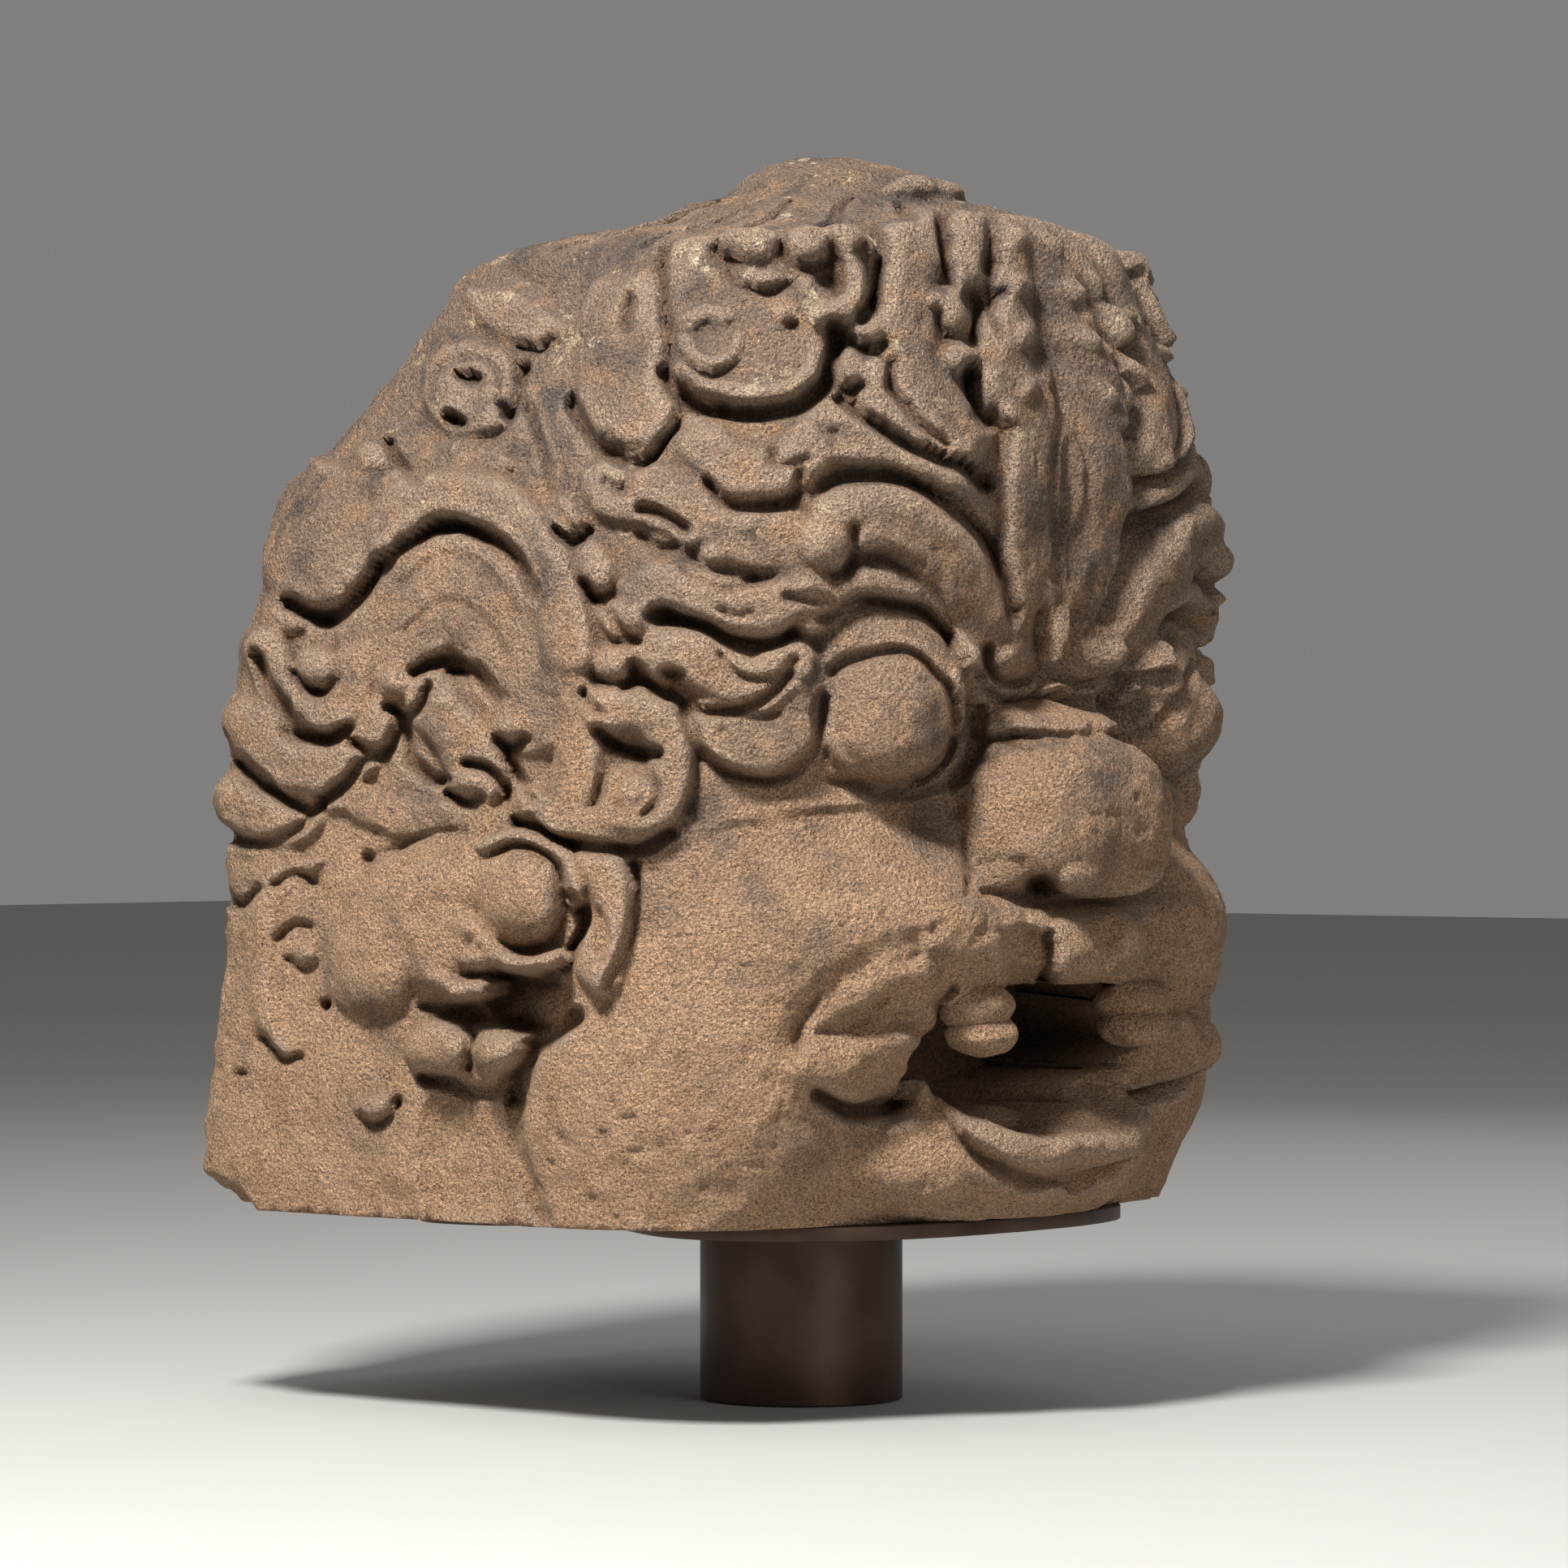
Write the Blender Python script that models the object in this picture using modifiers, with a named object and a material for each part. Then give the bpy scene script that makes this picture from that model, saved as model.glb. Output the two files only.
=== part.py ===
"""Carved stone lion head on the dark metal plate and post that hold it up.

Metres, +Z up. The origin is the centre of the post's foot, the face looks along -Y, and X runs across it.
The head is one block of stone. Its masses and its carving are laid out in millimetres, as shares of the
head's drawn height, and the finished stone is scaled to HEAD_HEIGHT.
"""

import math
from dataclasses import dataclass

import bpy
import numpy as np

# How a mark's edges fall: n and p of (1 - t^n)^p, where t runs from its middle to its edge
ROUND = (2.0, 0.5)
WORN = (2.0, 0.8)
FLAT = (4.0, 0.6)
SHELF = (7.0, 0.7)

# Which ends of a stroke taper
EVEN = "even"
TAIL = "tail"
BOTH = "both"

# Driving dimensions, metres
POST_DIAMETER = 0.141
POST_HEIGHT = 0.1237
PLATE_THICKNESS = 0.010
FIT_GAP = 0.0003
HEAD_HEIGHT = 0.727

# How finely the stone is worked
GRID_CUTS = (9, 13)
GRID_CELLS = (GRID_CUTS[0] + 1) * (GRID_CUTS[1] + 1)
KEPT_SHARE = 0.0335
WEAR_PASSES = 3
PLATE_EDGE_BEVEL = 0.0015
POST_SIDES = 64

# The drawing of the head, millimetres: heights are over the floor, with the stone's underside at DRAWN_SEAT
DRAWN_SEAT = 134.3
DRAWN_HEIGHT = 726.7
HEART = (0.0, 30.0, 330.0)

# The carving is drawn on an upright sheet through the post's axis, facing the near front corner of the face
SHEET_AZIMUTH = math.radians(-50.0)
SHEET_DISTANCE = 4540.0
SHEET_EYE_HEIGHT = 427.4
MIRROR_SIDE = np.array([-1.0, 1.0, 1.0])

# The carving stands out of the stone turned this much to the sheet, less by the midline, at these heights
TURN_TO_SHEET = 2.2
MIDLINE_TURN = 45.0
REACH_PAST_ENDS = 1.6
HIGHEST_CARVING = 46.0
DEEPEST_CARVING = -40.0

SEAT = POST_HEIGHT + FIT_GAP + PLATE_THICKNESS + FIT_GAP
SCALE = HEAD_HEIGHT / DRAWN_HEIGHT

# Height, half-width, depth forward of the axis, depth behind it and squareness of the back corners
BLOCK_STATIONS = (
    (100.0, 284.0, 160.0, 318.0, 12.0),
    (150.0, 290.0, 172.0, 331.0, 12.0),
    (200.0, 292.0, 182.0, 326.0, 12.0),
    (250.0, 293.0, 202.0, 313.0, 12.0),
    (320.0, 293.0, 230.0, 306.0, 12.0),
    (390.0, 292.0, 202.0, 304.0, 12.0),
    (460.0, 290.0, 196.0, 302.0, 12.0),
    (520.0, 287.0, 206.0, 297.0, 11.0),
    (560.0, 283.0, 216.0, 291.0, 9.0),
    (600.0, 276.0, 220.0, 287.0, 7.0),
    (640.0, 264.0, 226.0, 280.0, 6.0),
    (700.0, 236.0, 212.0, 226.0, 6.0),
    (750.0, 212.0, 198.0, 188.0, 6.0),
    (790.0, 192.0, 184.0, 154.0, 6.0),
    (815.0, 122.0, 162.0, 34.0, 6.0),
    (850.0, 90.0, 110.0, 50.0, 6.0),
)
FRONT_SQUARENESS = 3.0
CROWN_TOP = 829.0


@dataclass(frozen=True)
class Mass:
    """An ellipsoid of stone. It is made on both sides of the face unless its centre is on the midline."""

    centre: tuple
    radii: tuple
    blend: float
    power: float = 2.0


@dataclass(frozen=True)
class Stroke:
    """A chisel mark along a smooth line on the sheet: raised, or cut where its height is negative."""

    points: tuple
    half_width: float
    height: float
    taper: str = EVEN
    profile: tuple = FLAT


@dataclass(frozen=True)
class Knob:
    """A round or oval boss on the sheet, or a hollow where its height is negative."""

    at: tuple
    radii: tuple
    height: float
    turn: float = 0.0
    square: float = 2.0
    profile: tuple = ROUND


NOSE = (
    Mass((0.0, -226.0, 408.0), (88.0, 60.0, 54.0), 14.0, 2.5),
    Mass((0.0, -196.0, 446.0), (62.0, 52.0, 40.0), 24.0),
    Mass((52.0, -226.0, 382.0), (36.0, 44.0, 30.0), 12.0),
)
EYES = (
    Mass((118.0, -170.0, 488.0), (62.0, 50.0, 60.0), 10.0),
    Mass((124.0, -178.0, 468.0), (48.0, 44.0, 46.0), 8.0),
)
JOWLS = (
    Mass((194.0, -56.0, 240.0), (106.0, 130.0, 130.0), 30.0),
    Mass((112.0, -160.0, 330.0), (120.0, 86.0, 70.0), 30.0),
    Mass((0.0, -170.0, 318.0), (150.0, 84.0, 46.0), 16.0),
    Mass((0.0, -150.0, 175.0), (170.0, 88.0, 52.0), 20.0),
)
CROWN_BLOCK = Mass((0.0, -46.0, 800.0), (88.0, 86.0, 63.5), 8.0, 2.5)
CROWN_BREAK = (0.0, 0.13)
CORNER_CHIP = Mass((-296.0, 322.0, 126.0), (74.0, 74.0, 30.0), 8.0)

# The mouth's rim, square to the face, as distance from the midline and height, with the upper lip first
MOUTH_RIM = (
    (-129, 247),
    (-121, 257),
    (-110, 266),
    (-98, 276),
    (-82, 285),
    (-60, 291),
    (-30, 293),
    (0, 293),
    (34, 293),
    (62, 291),
    (84, 285),
    (100, 276),
    (112, 266),
    (124, 257),
    (131, 248),
    (118, 240),
    (96, 236),
    (62, 233),
    (46, 226),
    (32, 217),
    (12, 209),
    (-12, 204),
    (-37, 201),
    (-59, 203),
    (-82, 211),
    (-100, 223),
    (-110, 233),
    (-120, 241),
)
MOUTH_DEPTH = 125.0
MOUTH_FRONT = -150.0
RIM_REACH = 290.0
MOUTH_MIDDLE = (0.0, 245.0)
MOUTH_FLARE = (1.3, 1.3)
RIM_ROUNDING = (11.0, 6.0)
FANG_LOBES = (
    Mass((88.0, -222.0, 279.0), (28.0, 26.0, 18.0), 0.0),
    Mass((84.0, -226.0, 261.0), (27.0, 25.0, 15.0), 0.0),
)
TONGUE = Mass((0.0, -188.0, 198.0), (56.0, 40.0, 22.0), 0.0)


def arc(centre, radii, start, end, count=9):
    """Points along an elliptical arc on the sheet, by angle in degrees counter-clockwise from the right."""
    angles = np.radians(np.linspace(start, end, count))
    return tuple((centre[0] + radii[0] * math.cos(t), centre[1] + radii[1] * math.sin(t)) for t in angles)


def spiral(centre, radius, start, turns, count=14):
    """Points along a spiral that closes in to a third of its radius; negative turns run clockwise."""
    steps = np.linspace(0.0, 1.0, count)
    return tuple(
        (
            centre[0] + radius * (1.0 - 0.67 * t) * math.cos(math.radians(start + 360.0 * turns * t)),
            centre[1] + radius * (1.0 - 0.67 * t) * math.sin(math.radians(start + 360.0 * turns * t)),
        )
        for t in steps
    )


BROW_AND_EYE = (
    Stroke(((30, 610), (60, 612), (88, 600), (110, 577), (125, 550), (131, 525), (128, 508)), 27, 24),
    Stroke(((8, 655), (35, 664), (65, 662), (95, 646), (118, 630)), 15, 13, BOTH),
    Stroke(((14, 634), (35, 643), (60, 642), (85, 632), (105, 616), (122, 602)), 4.5, -17),
    Stroke(((105, 616), (122, 602), (133, 588), (141, 568), (146, 546)), 5.5, -20),
    Stroke(((8, 540), (28, 561), (56, 567), (86, 559), (109, 538), (123, 508), (126, 486)), 12, 15),
    Stroke(((14, 543), (35, 556), (60, 554), (84, 546), (100, 530), (112, 514), (120, 490)), 4.5, -14),
    Stroke(((120, 490), (122, 465), (116, 442), (106, 430)), 6, -14),
    Knob((64, 496), (57, 55), 17, 0, 2.3, FLAT),
    Knob((58, 470), (44, 42), 22, 0, 2.6, ROUND),
    Knob((150, 512), (27, 25), 15, 0, 2.2, FLAT),
    Knob((150, 519), (17, 17), 25),
    Stroke(((166, 700), (164, 640), (163, 590), (166, 545)), 24, 17),
    Stroke(((192, 655), (190, 620), (193, 590), (197, 558)), 6, -24),
    Stroke(((128, 472), (150, 474), (172, 475), (192, 474)), 10, 13),
    Knob((16, 596), (21, 21), 31, 0, 2.5),
    Knob((4, 567), (15, 10), 26),
)
LEAVES = (
    Stroke(((-124, 546), (-98, 566), (-62, 557), (-32, 549), (4, 562)), 19, 21),
    Knob((-119, 546), (20, 18), 27),
    Stroke(((-106, 546), (-86, 543), (-66, 537), (-46, 527), (-24, 524), (-8, 531)), 4.5, -20),
    Stroke(((-102, 520), (-78, 517), (-56, 501), (-30, 494), (-8, 508)), 21, 22),
    Knob((-98, 519), (17, 18), 25),
    Stroke(((-116, 508), (-106, 495), (-94, 488)), 4.5, -18),
    Stroke(((-66, 468), (-48, 456), (-24, 451), (-2, 461), (8, 484)), 22, 18),
    Stroke(
        ((-82, 472), (-72, 450), (-52, 436), (-28, 430), (-8, 436), (8, 450), (14, 470), (15, 488)),
        4.5, -17,
    ),
    Knob((-81, 475), (7, 7), -22),
    Knob((-60, 470), (9, 8), 24),
    Stroke(((-66, 660), (-44, 646), (-18, 645), (4, 660)), 20, 17),
    Stroke(((-128, 632), (-100, 628), (-70, 616), (-38, 600), (-10, 596)), 24, 13),
    Stroke(((-112, 619), (-98, 614), (-82, 606)), 4.5, -14),
    Knob((-38, 608), (15, 11), 18),
    Knob((-60, 590), (14, 12), 17),
    Knob((-78, 600), (10, 8), 18),
    Knob((-145, 578), (14, 22), 20, 15),
    Knob((-166, 612), (12, 20), 18, 15),
    Knob((-136, 635), (12, 10), 14),
)
HOOK_SCROLL = (
    Stroke(
        ((-140, 478), (-118, 480), (-98, 466), (-92, 444), (-94, 422), (-108, 408), (-126, 408)),
        18, 22,
    ),
    Knob((-119, 421), (20, 19), 23, 0, 2.3, FLAT),
    Knob((-119, 421), (10, 10), 28),
    Stroke(((-142, 466), (-131, 455), (-117, 450), (-103, 449)), 5, -19),
    Stroke(((-198, 402), (-165, 387), (-138, 382), (-112, 384), (-90, 394)), 5, -18),
    Stroke(((-190, 414), (-168, 402), (-146, 398), (-120, 398)), 14, 17),
    Knob((-132, 512), (17, 13), 20),
    Stroke(((-170, 520), (-158, 485), (-156, 450), (-160, 420)), 16, 16),
)
SIDE_MANE = (
    Stroke(
        ((-290, 604), (-270, 624), (-240, 629), (-208, 617), (-186, 590), (-172, 555), (-164, 520)),
        21, 23,
    ),
    Stroke(
        ((-292, 580), (-278, 596), (-262, 604), (-240, 608), (-218, 602), (-200, 587), (-187, 560)),
        4.5, -20,
    ),
    Knob((-290, 594), (15, 15), 27),
    Stroke(((-286, 540), (-262, 560), (-240, 564), (-215, 549), (-195, 518), (-182, 485)), 40, 13),
    Stroke(((-268, 504), (-258, 511), (-240, 513), (-228, 507), (-213, 488)), 4.5, -16),
    Knob((-285, 499), (15, 16), 21),
    Knob((-300, 474), (15, 21), 20),
    Stroke(((-313, 457), (-299, 447), (-288, 455), (-282, 468)), 4.5, -18),
    Stroke(((-262, 486), (-246, 470), (-232, 450), (-224, 430)), 20, 16),
    Knob((-250, 484), (14, 12), 20),
    Knob((-246, 461), (13, 11), 19),
    Knob((-234, 430), (15, 13), 21),
    Knob((-205, 468), (14, 13), 20),
    Stroke(((-318, 420), (-286, 406), (-255, 402), (-215, 400)), 15, 8),
)
REAR_LOCKS = (
    Knob((-334, 596), (40, 52), 19, -12, 2.4, FLAT),
    Stroke(((-356, 553), (-344, 546), (-322, 546), (-304, 562), (-290, 582)), 5.5, -20),
    Knob((-360, 545), (18, 16), 12),
    Stroke(((-374, 522), (-362, 488), (-341, 474), (-322, 482), (-310, 512)), 16, 19),
    Knob((-338, 508), (17, 16), 22),
    Stroke(((-379, 517), (-371, 492), (-360, 476), (-348, 463), (-330, 459), (-316, 467)), 5, -20),
    Stroke(((-386, 470), (-372, 448), (-344, 436), (-318, 446), (-300, 466)), 19, 16),
    Stroke(((-390, 443), (-374, 429), (-360, 419), (-342, 409), (-326, 421), (-300, 450)), 4.5, -18),
    Stroke(((-402, 418), (-382, 406), (-362, 402), (-348, 406)), 17, 11),
    Knob((-232, 704), (34, 36), 16, 0, 2.2, FLAT),
    Knob((-217, 700), (9, 8), 22),
    Stroke(((-193, 718), (-197, 702), (-203, 684)), 4.5, -15),
    Knob((-300, 655), (16, 12), 14),
    Stroke(((-262, 655), (-235, 656), (-205, 650)), 12, 8, BOTH),
    Stroke(((-340, 652), (-318, 640), (-296, 636), (-276, 646)), 10, 13, BOTH),
    Stroke(((-228, 768), (-198, 752), (-168, 742)), 18, 9, BOTH),
)
MEDALLION = (
    Knob((-120, 722), (38, 66), 17, 0, 2.6, FLAT),
    Stroke(
        ((-160, 694), (-150, 674), (-138, 661), (-119, 650), (-102, 658), (-90, 674), (-82, 690)),
        4.5, -16,
    ),
    Stroke(((-119, 763), (-120, 744)), 4.5, -13),
    Knob((-38, 760), (59, 66), 17, 0, 3.0, SHELF),
    Stroke(
        ((-98, 716), (-90, 702), (-72, 691), (-36, 686), (-4, 692), (14, 706), (23, 726), (23, 748)),
        6, -22,
    ),
    Knob((-36, 806), (24, 16), 33, 0, 2.4),
    Knob((4, 804), (17, 20), 31),
    Knob((-28, 781), (21, 9), 27, -5),
    Knob((-12, 757), (13, 11), 25),
    Stroke(((-78, 752), (-66, 758), (-52, 754)), 7, 26),
    Stroke(((-82, 738), (-76, 726), (-62, 720), (-48, 727), (-44, 740)), 6, 25),
    Stroke(((-88, 724), (-64, 707), (-30, 702), (0, 710), (13, 732)), 9, 24, BOTH),
    Stroke(((14, 804), (30, 808), (41, 792), (42, 772), (32, 759), (16, 760)), 10, 29),
    Knob((18, 782), (8, 8), 26),
    Stroke(((40, 800), (50, 782), (50, 764), (42, 752)), 5.5, -24),
    Knob((8, 826), (12, 8), 16),
)
CROWN = (
    Stroke(((76, 834), (77, 795), (72, 755), (76, 722), (92, 694), (112, 672)), 22, 16),
    Knob((46, 745), (16, 13), 22),
    Knob((32, 718), (14, 13), 21),
    Stroke(((50, 715), (50, 700), (62, 684), (80, 672)), 12, 17),
    Stroke(((98, 828), (100, 806), (102, 790), (106, 778)), 4.5, -19),
    Knob((94, 766), (9, 8), 22),
    Knob((108, 758), (13, 20), 22),
    Stroke(((117, 766), (121, 752), (120, 738)), 5, -20),
    Knob((112, 725), (15, 14), 22),
    Stroke(((116, 717), (117, 702), (122, 686), (128, 678)), 5, -20),
    Stroke(((118, 830), (116, 806), (118, 786)), 15, 16),
    Stroke(((146, 832), (148, 796), (146, 760), (148, 720), (150, 690)), 16, 19),
    Knob((132, 742), (12, 24), 17),
    Knob((134, 708), (13, 22), 18),
    Stroke(((162, 822), (168, 800), (174, 772), (177, 738), (180, 706), (184, 682)), 4.5, -17),
    Knob((152, 806), (12, 12), 23),
    Knob((152, 774), (12, 12), 23),
    Knob((158, 738), (11, 14), 22),
    Knob((160, 704), (11, 14), 22),
    Stroke(((26, 697), (45, 683), (70, 666), (95, 655), (114, 645), (128, 634)), 4.5, -18),
    Stroke(((48, 694), (72, 676), (98, 664), (118, 655)), 5, 17),
    Knob((125, 640), (7, 8), -14),
    Stroke(((55, 668), (30, 684), (4, 676), (-8, 664)), 10, 12, BOTH),
)
EAR = (
    Stroke(((-304, 290), (-302, 322), (-286, 350), (-258, 366), (-226, 366)), 25, 21),
    Knob((-262, 322), (34, 38), 15, 0, 2.0, FLAT),
    Knob((-198, 349), (29, 36), 40, -6, 2.4),
    Stroke(((-222, 384), (-200, 392), (-178, 385), (-162, 367), (-157, 348)), 7, 26),
    Stroke(((-238, 338), (-240, 322), (-230, 314)), 7, 25),
    Stroke(((-222, 318), (-208, 305), (-190, 300), (-170, 306)), 8, 31),
    Knob((-226, 306), (15, 12), 30, -20),
    Stroke(((-256, 292), (-240, 284), (-222, 284)), 8, 24),
    Knob((-190, 276), (30, 24), -42, 0, 2.4, FLAT),
    Knob((-226, 267), (30, 9), -26, -4),
    Stroke(((-144, 374), (-133, 352), (-135, 322), (-143, 296)), 17, 22),
    Stroke(((-160, 350), (-152, 338), (-156, 318), (-166, 298)), 4.5, -17),
    Knob((-176, 274), (16, 14), 20),
    Knob((-251, 244), (25, 20), 23),
    Knob((-213, 240), (17, 15), 21),
    Stroke(((-262, 224), (-240, 216), (-216, 214), (-202, 224)), 6, -15),
    Knob((-232, 170), (36, 46), -11, 0, 3.0, FLAT),
    Knob((-297, 203), (16, 12), 16, 15),
    Stroke(
        ((-336, 374), (-358, 368), (-374, 342), (-379, 300), (-374, 262), (-358, 240), (-340, 254)),
        9, 9,
    ),
    Knob((-346, 308), (10, 10), 12),
)
MUZZLE = (
    Stroke(
        ((-158, 266), (-180, 250), (-195, 230), (-200, 205), (-198, 170), (-188, 142), (-178, 122)),
        9, -26,
    ),
    Stroke(((24, 262), (52, 284), (88, 300), (124, 314), (156, 316)), 20, 9, BOTH, WORN),
    Stroke(((12, 230), (34, 226), (56, 236), (76, 248)), 20, 18, EVEN, ROUND),
    Stroke(((10, 212), (28, 201), (48, 200), (70, 210), (82, 228)), 6, -26),
    Knob((90, 218), (17, 15), 13, 60),
    Stroke(((60, 190), (92, 200), (120, 188), (148, 178), (182, 178)), 13, 9),
    Knob((186, 320), (16, 28), 13, 0, 2.6, FLAT),
    Knob((165, 354), (12, 12), -26),
    Stroke(((-150, 378), (-110, 384), (-60, 400), (0, 412), (60, 414)), 7, 4, BOTH, WORN),
)
SIDE_CARVING = (
    BROW_AND_EYE + LEAVES + HOOK_SCROLL + SIDE_MANE + REAR_LOCKS + MEDALLION + CROWN + EAR + MUZZLE
)


def hooked_lock(at, size):
    """A curled lock: a U-shaped band round a bead."""
    curve = ((-1.0, 0.9), (-0.8, -0.1), (0.0, -0.7), (0.8, 0.0))
    band = tuple((at[0] + size * u, at[1] + size * v) for u, v in curve)
    bead = (at[0] + 0.05 * size, at[1] + 0.15 * size)
    return Stroke(band, 0.3 * size, 14.0, TAIL), Knob(bead, (0.36 * size, 0.36 * size), 14.0)


def back_carving(rows=7, lowest=190.0, pitch=88.0, size=44.0):
    """Staggered rows of curled locks over the plain back, by distance from its middle and height."""
    marks = ()
    for row in range(rows):
        for column in range(2 if row % 2 else 3):
            marks += hooked_lock(((2.0 * column + row % 2) * size, lowest + row * pitch), size)
    return marks


def crown_carving(count=9, inner=105.0, outer=215.0, bend=0.12):
    """Grooves that part the crown's hair as it runs out from the broken block on top."""
    middle = CROWN_BLOCK.centre[1]
    marks = ()
    for t in np.radians(np.linspace(-80.0, 80.0, count)):
        start = (inner * math.cos(t), middle + inner * math.sin(t))
        end = (outer * math.cos(t + bend), middle + outer * math.sin(t + bend))
    return marks


def smooth_step(value, low, high):
    """Rises from 0 to 1 as value goes from low to high."""
    t = np.clip((value - low) / (high - low), 0.0, 1.0)
    return t * t * (3.0 - 2.0 * t)


def smooth_line(points, per_span=6):
    """A Catmull-Rom curve through the points."""
    p = np.array(points, dtype=float)
    p = np.vstack([2.0 * p[0] - p[1], p, 2.0 * p[-1] - p[-2]])
    t = np.linspace(0.0, 1.0, per_span, endpoint=False)[:, None]
    spans = [
        0.5 * (2 * b + (c - a) * t + (2 * a - 5 * b + 4 * c - d) * t**2 + (3 * b - a - 3 * c + d) * t**3)
        for a, b, c, d in zip(p[:-3], p[1:-2], p[2:-1], p[3:])
    ]
    return np.vstack(spans + [p[-2:-1]])


def station_curve(z, column):
    """A smooth profile of the block against height, through one column of its stations."""
    line = smooth_line([(row[0], row[column]) for row in BLOCK_STATIONS], 8)
    return np.interp(z, line[:, 0], line[:, 1])


def block_distance(side, y, z):
    """Distance outside the squared block, whose plan is a superellipse that changes with height."""
    wide = station_curve(z, 1)
    front = y < 0.0
    deep = np.where(front, station_curve(z, 2), station_curve(z, 3))
    power = np.where(front, FRONT_SQUARENESS, station_curve(z, 4))
    plan = ((side / wide) ** power + (np.abs(y) / deep) ** power) ** (1.0 / power)
    radial = np.hypot(side, y)
    walls = radial * (1.0 - 1.0 / np.maximum(plan, 1e-6))
    return smooth_most(walls, z - CROWN_TOP, 24.0)


def mass_distance(mass, side, y, z):
    """Distance outside an ellipsoid, exact at its surface and close to it near there."""
    p = [(v - c) / r for v, c, r in zip((side, y, z), mass.centre, mass.radii)]
    if mass.power != 2.0:
        size = np.maximum(sum(np.abs(v) ** mass.power for v in p), 1e-9) ** (1.0 / mass.power)
        return np.sqrt(sum((v * r) ** 2 for v, r in zip(p, mass.radii))) * (1.0 - 1.0 / size)
    k0 = np.sqrt(sum(v * v for v in p))
    k1 = np.sqrt(sum((v / r) ** 2 for v, r in zip(p, mass.radii)))
    return k0 * (k0 - 1.0) / np.maximum(k1, 1e-9)


def smooth_least(a, b, blend):
    """The smaller of two distances, with a fillet of the given size between them."""
    h = np.clip(0.5 + 0.5 * (b - a) / blend, 0.0, 1.0)
    return b + (a - b) * h - blend * h * (1.0 - h)


def smooth_most(a, b, blend):
    """The larger of two distances, with a rounded edge of the given size."""
    return -smooth_least(-a, -b, blend)


def stone_distance(x, y, z):
    """Distance outside the stone before it is carved: block and masses, less the broken parts."""
    side = np.abs(x)
    distance = block_distance(side, y, z)
    for mass in JOWLS + EYES + NOSE:
        distance = smooth_least(distance, mass_distance(mass, side, y, z), mass.blend)
    break_start, break_slope = CROWN_BREAK
    across = x * math.cos(SHEET_AZIMUTH) + y * math.sin(SHEET_AZIMUTH)
    broken_off = break_slope * np.maximum(across - break_start, 0.0)
    distance = smooth_least(distance, mass_distance(CROWN_BLOCK, x, y, z + broken_off), CROWN_BLOCK.blend)
    return smooth_most(distance, -mass_distance(CORNER_CHIP, x, y, z), CORNER_CHIP.blend)


def reach_stone(rays):
    """How far along each ray from the heart of the head the stone's outer face lies."""
    reach = np.full(len(rays), 720.0)
    for _ in range(60):
        points = np.array(HEART) + rays * reach[:, None]
        step = stone_distance(*points.T)
        reach = np.maximum(reach - 0.7 * step, 60.0)
    return reach


def to_sheet(points):
    """Where points of the stone's near side are seen on the sheet: across it and over the floor."""
    c, s = math.cos(SHEET_AZIMUTH), math.sin(SHEET_AZIMUTH)
    across = points[:, 0] * c + points[:, 1] * s
    near = points[:, 0] * s - points[:, 1] * c
    spread = SHEET_DISTANCE / (SHEET_DISTANCE - near)
    return across * spread, SHEET_EYE_HEIGHT + (points[:, 2] - SHEET_EYE_HEIGHT) * spread


def edge_fall(profile, t):
    """Share of a mark's height left at t, which runs from 0 in its middle to 1 at its edge."""
    return np.clip(1.0 - t ** profile[0], 0.0, 1.0) ** profile[1]


def taper_shares(taper, count):
    """Share of a stroke's half-width at each of its points."""
    along = np.linspace(0.0, 1.0, count)
    if taper == TAIL:
        return np.sqrt(np.clip((1.0 - along) * 2.0, 0.05, 1.0))
    if taper == BOTH:
        return np.sqrt(np.clip(np.minimum(along, 1.0 - along) * 4.0, 0.05, 1.0))
    return np.ones(count)


def stroke_height(mark, a, z):
    """Height of one stroke over the stone at sheet points."""
    line = smooth_line(mark.points)
    widths = mark.half_width * taper_shares(mark.taper, len(line))
    nearest = np.full(len(a), 9.0)
    for p, q, width in zip(line[:-1], line[1:], widths):
        run = q - p
        t = np.clip(((a - p[0]) * run[0] + (z - p[1]) * run[1]) / max(run @ run, 1e-9), 0.0, 1.0)
        nearest = np.minimum(nearest, np.hypot(a - p[0] - t * run[0], z - p[1] - t * run[1]) / width)
    return mark.height * edge_fall(mark.profile, nearest)


def knob_height(mark, a, z):
    """Height of one boss or hollow at sheet points."""
    c, s = math.cos(math.radians(mark.turn)), math.sin(math.radians(mark.turn))
    u = np.abs(((a - mark.at[0]) * c + (z - mark.at[1]) * s) / mark.radii[0])
    v = np.abs(((z - mark.at[1]) * c - (a - mark.at[0]) * s) / mark.radii[1])
    return mark.height * edge_fall(mark.profile, (u**mark.square + v**mark.square) ** (1.0 / mark.square))


def carve(marks, a, z):
    """Relief of a set of marks: raised ones meet at the higher, cuts go in after them."""
    raised = np.zeros(len(a))
    cut = np.zeros(len(a))
    for mark in marks:
        if isinstance(mark, Stroke):
            points = np.array(mark.points)
            low = points.min(axis=0) - REACH_PAST_ENDS * mark.half_width
            high = points.max(axis=0) + REACH_PAST_ENDS * mark.half_width
            height = stroke_height
        else:
            low = np.array(mark.at) - max(mark.radii)
            high = np.array(mark.at) + max(mark.radii)
            height = knob_height
        near = (a > low[0]) & (a < high[0]) & (z > low[1]) & (z < high[1])
        if not near.any():
            continue
        value = height(mark, a[near], z[near])
        if mark.height > 0.0:
            raised[near] = np.maximum(raised[near], value)
        else:
            cut[near] = np.minimum(cut[near], value)
    return raised + cut


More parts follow.
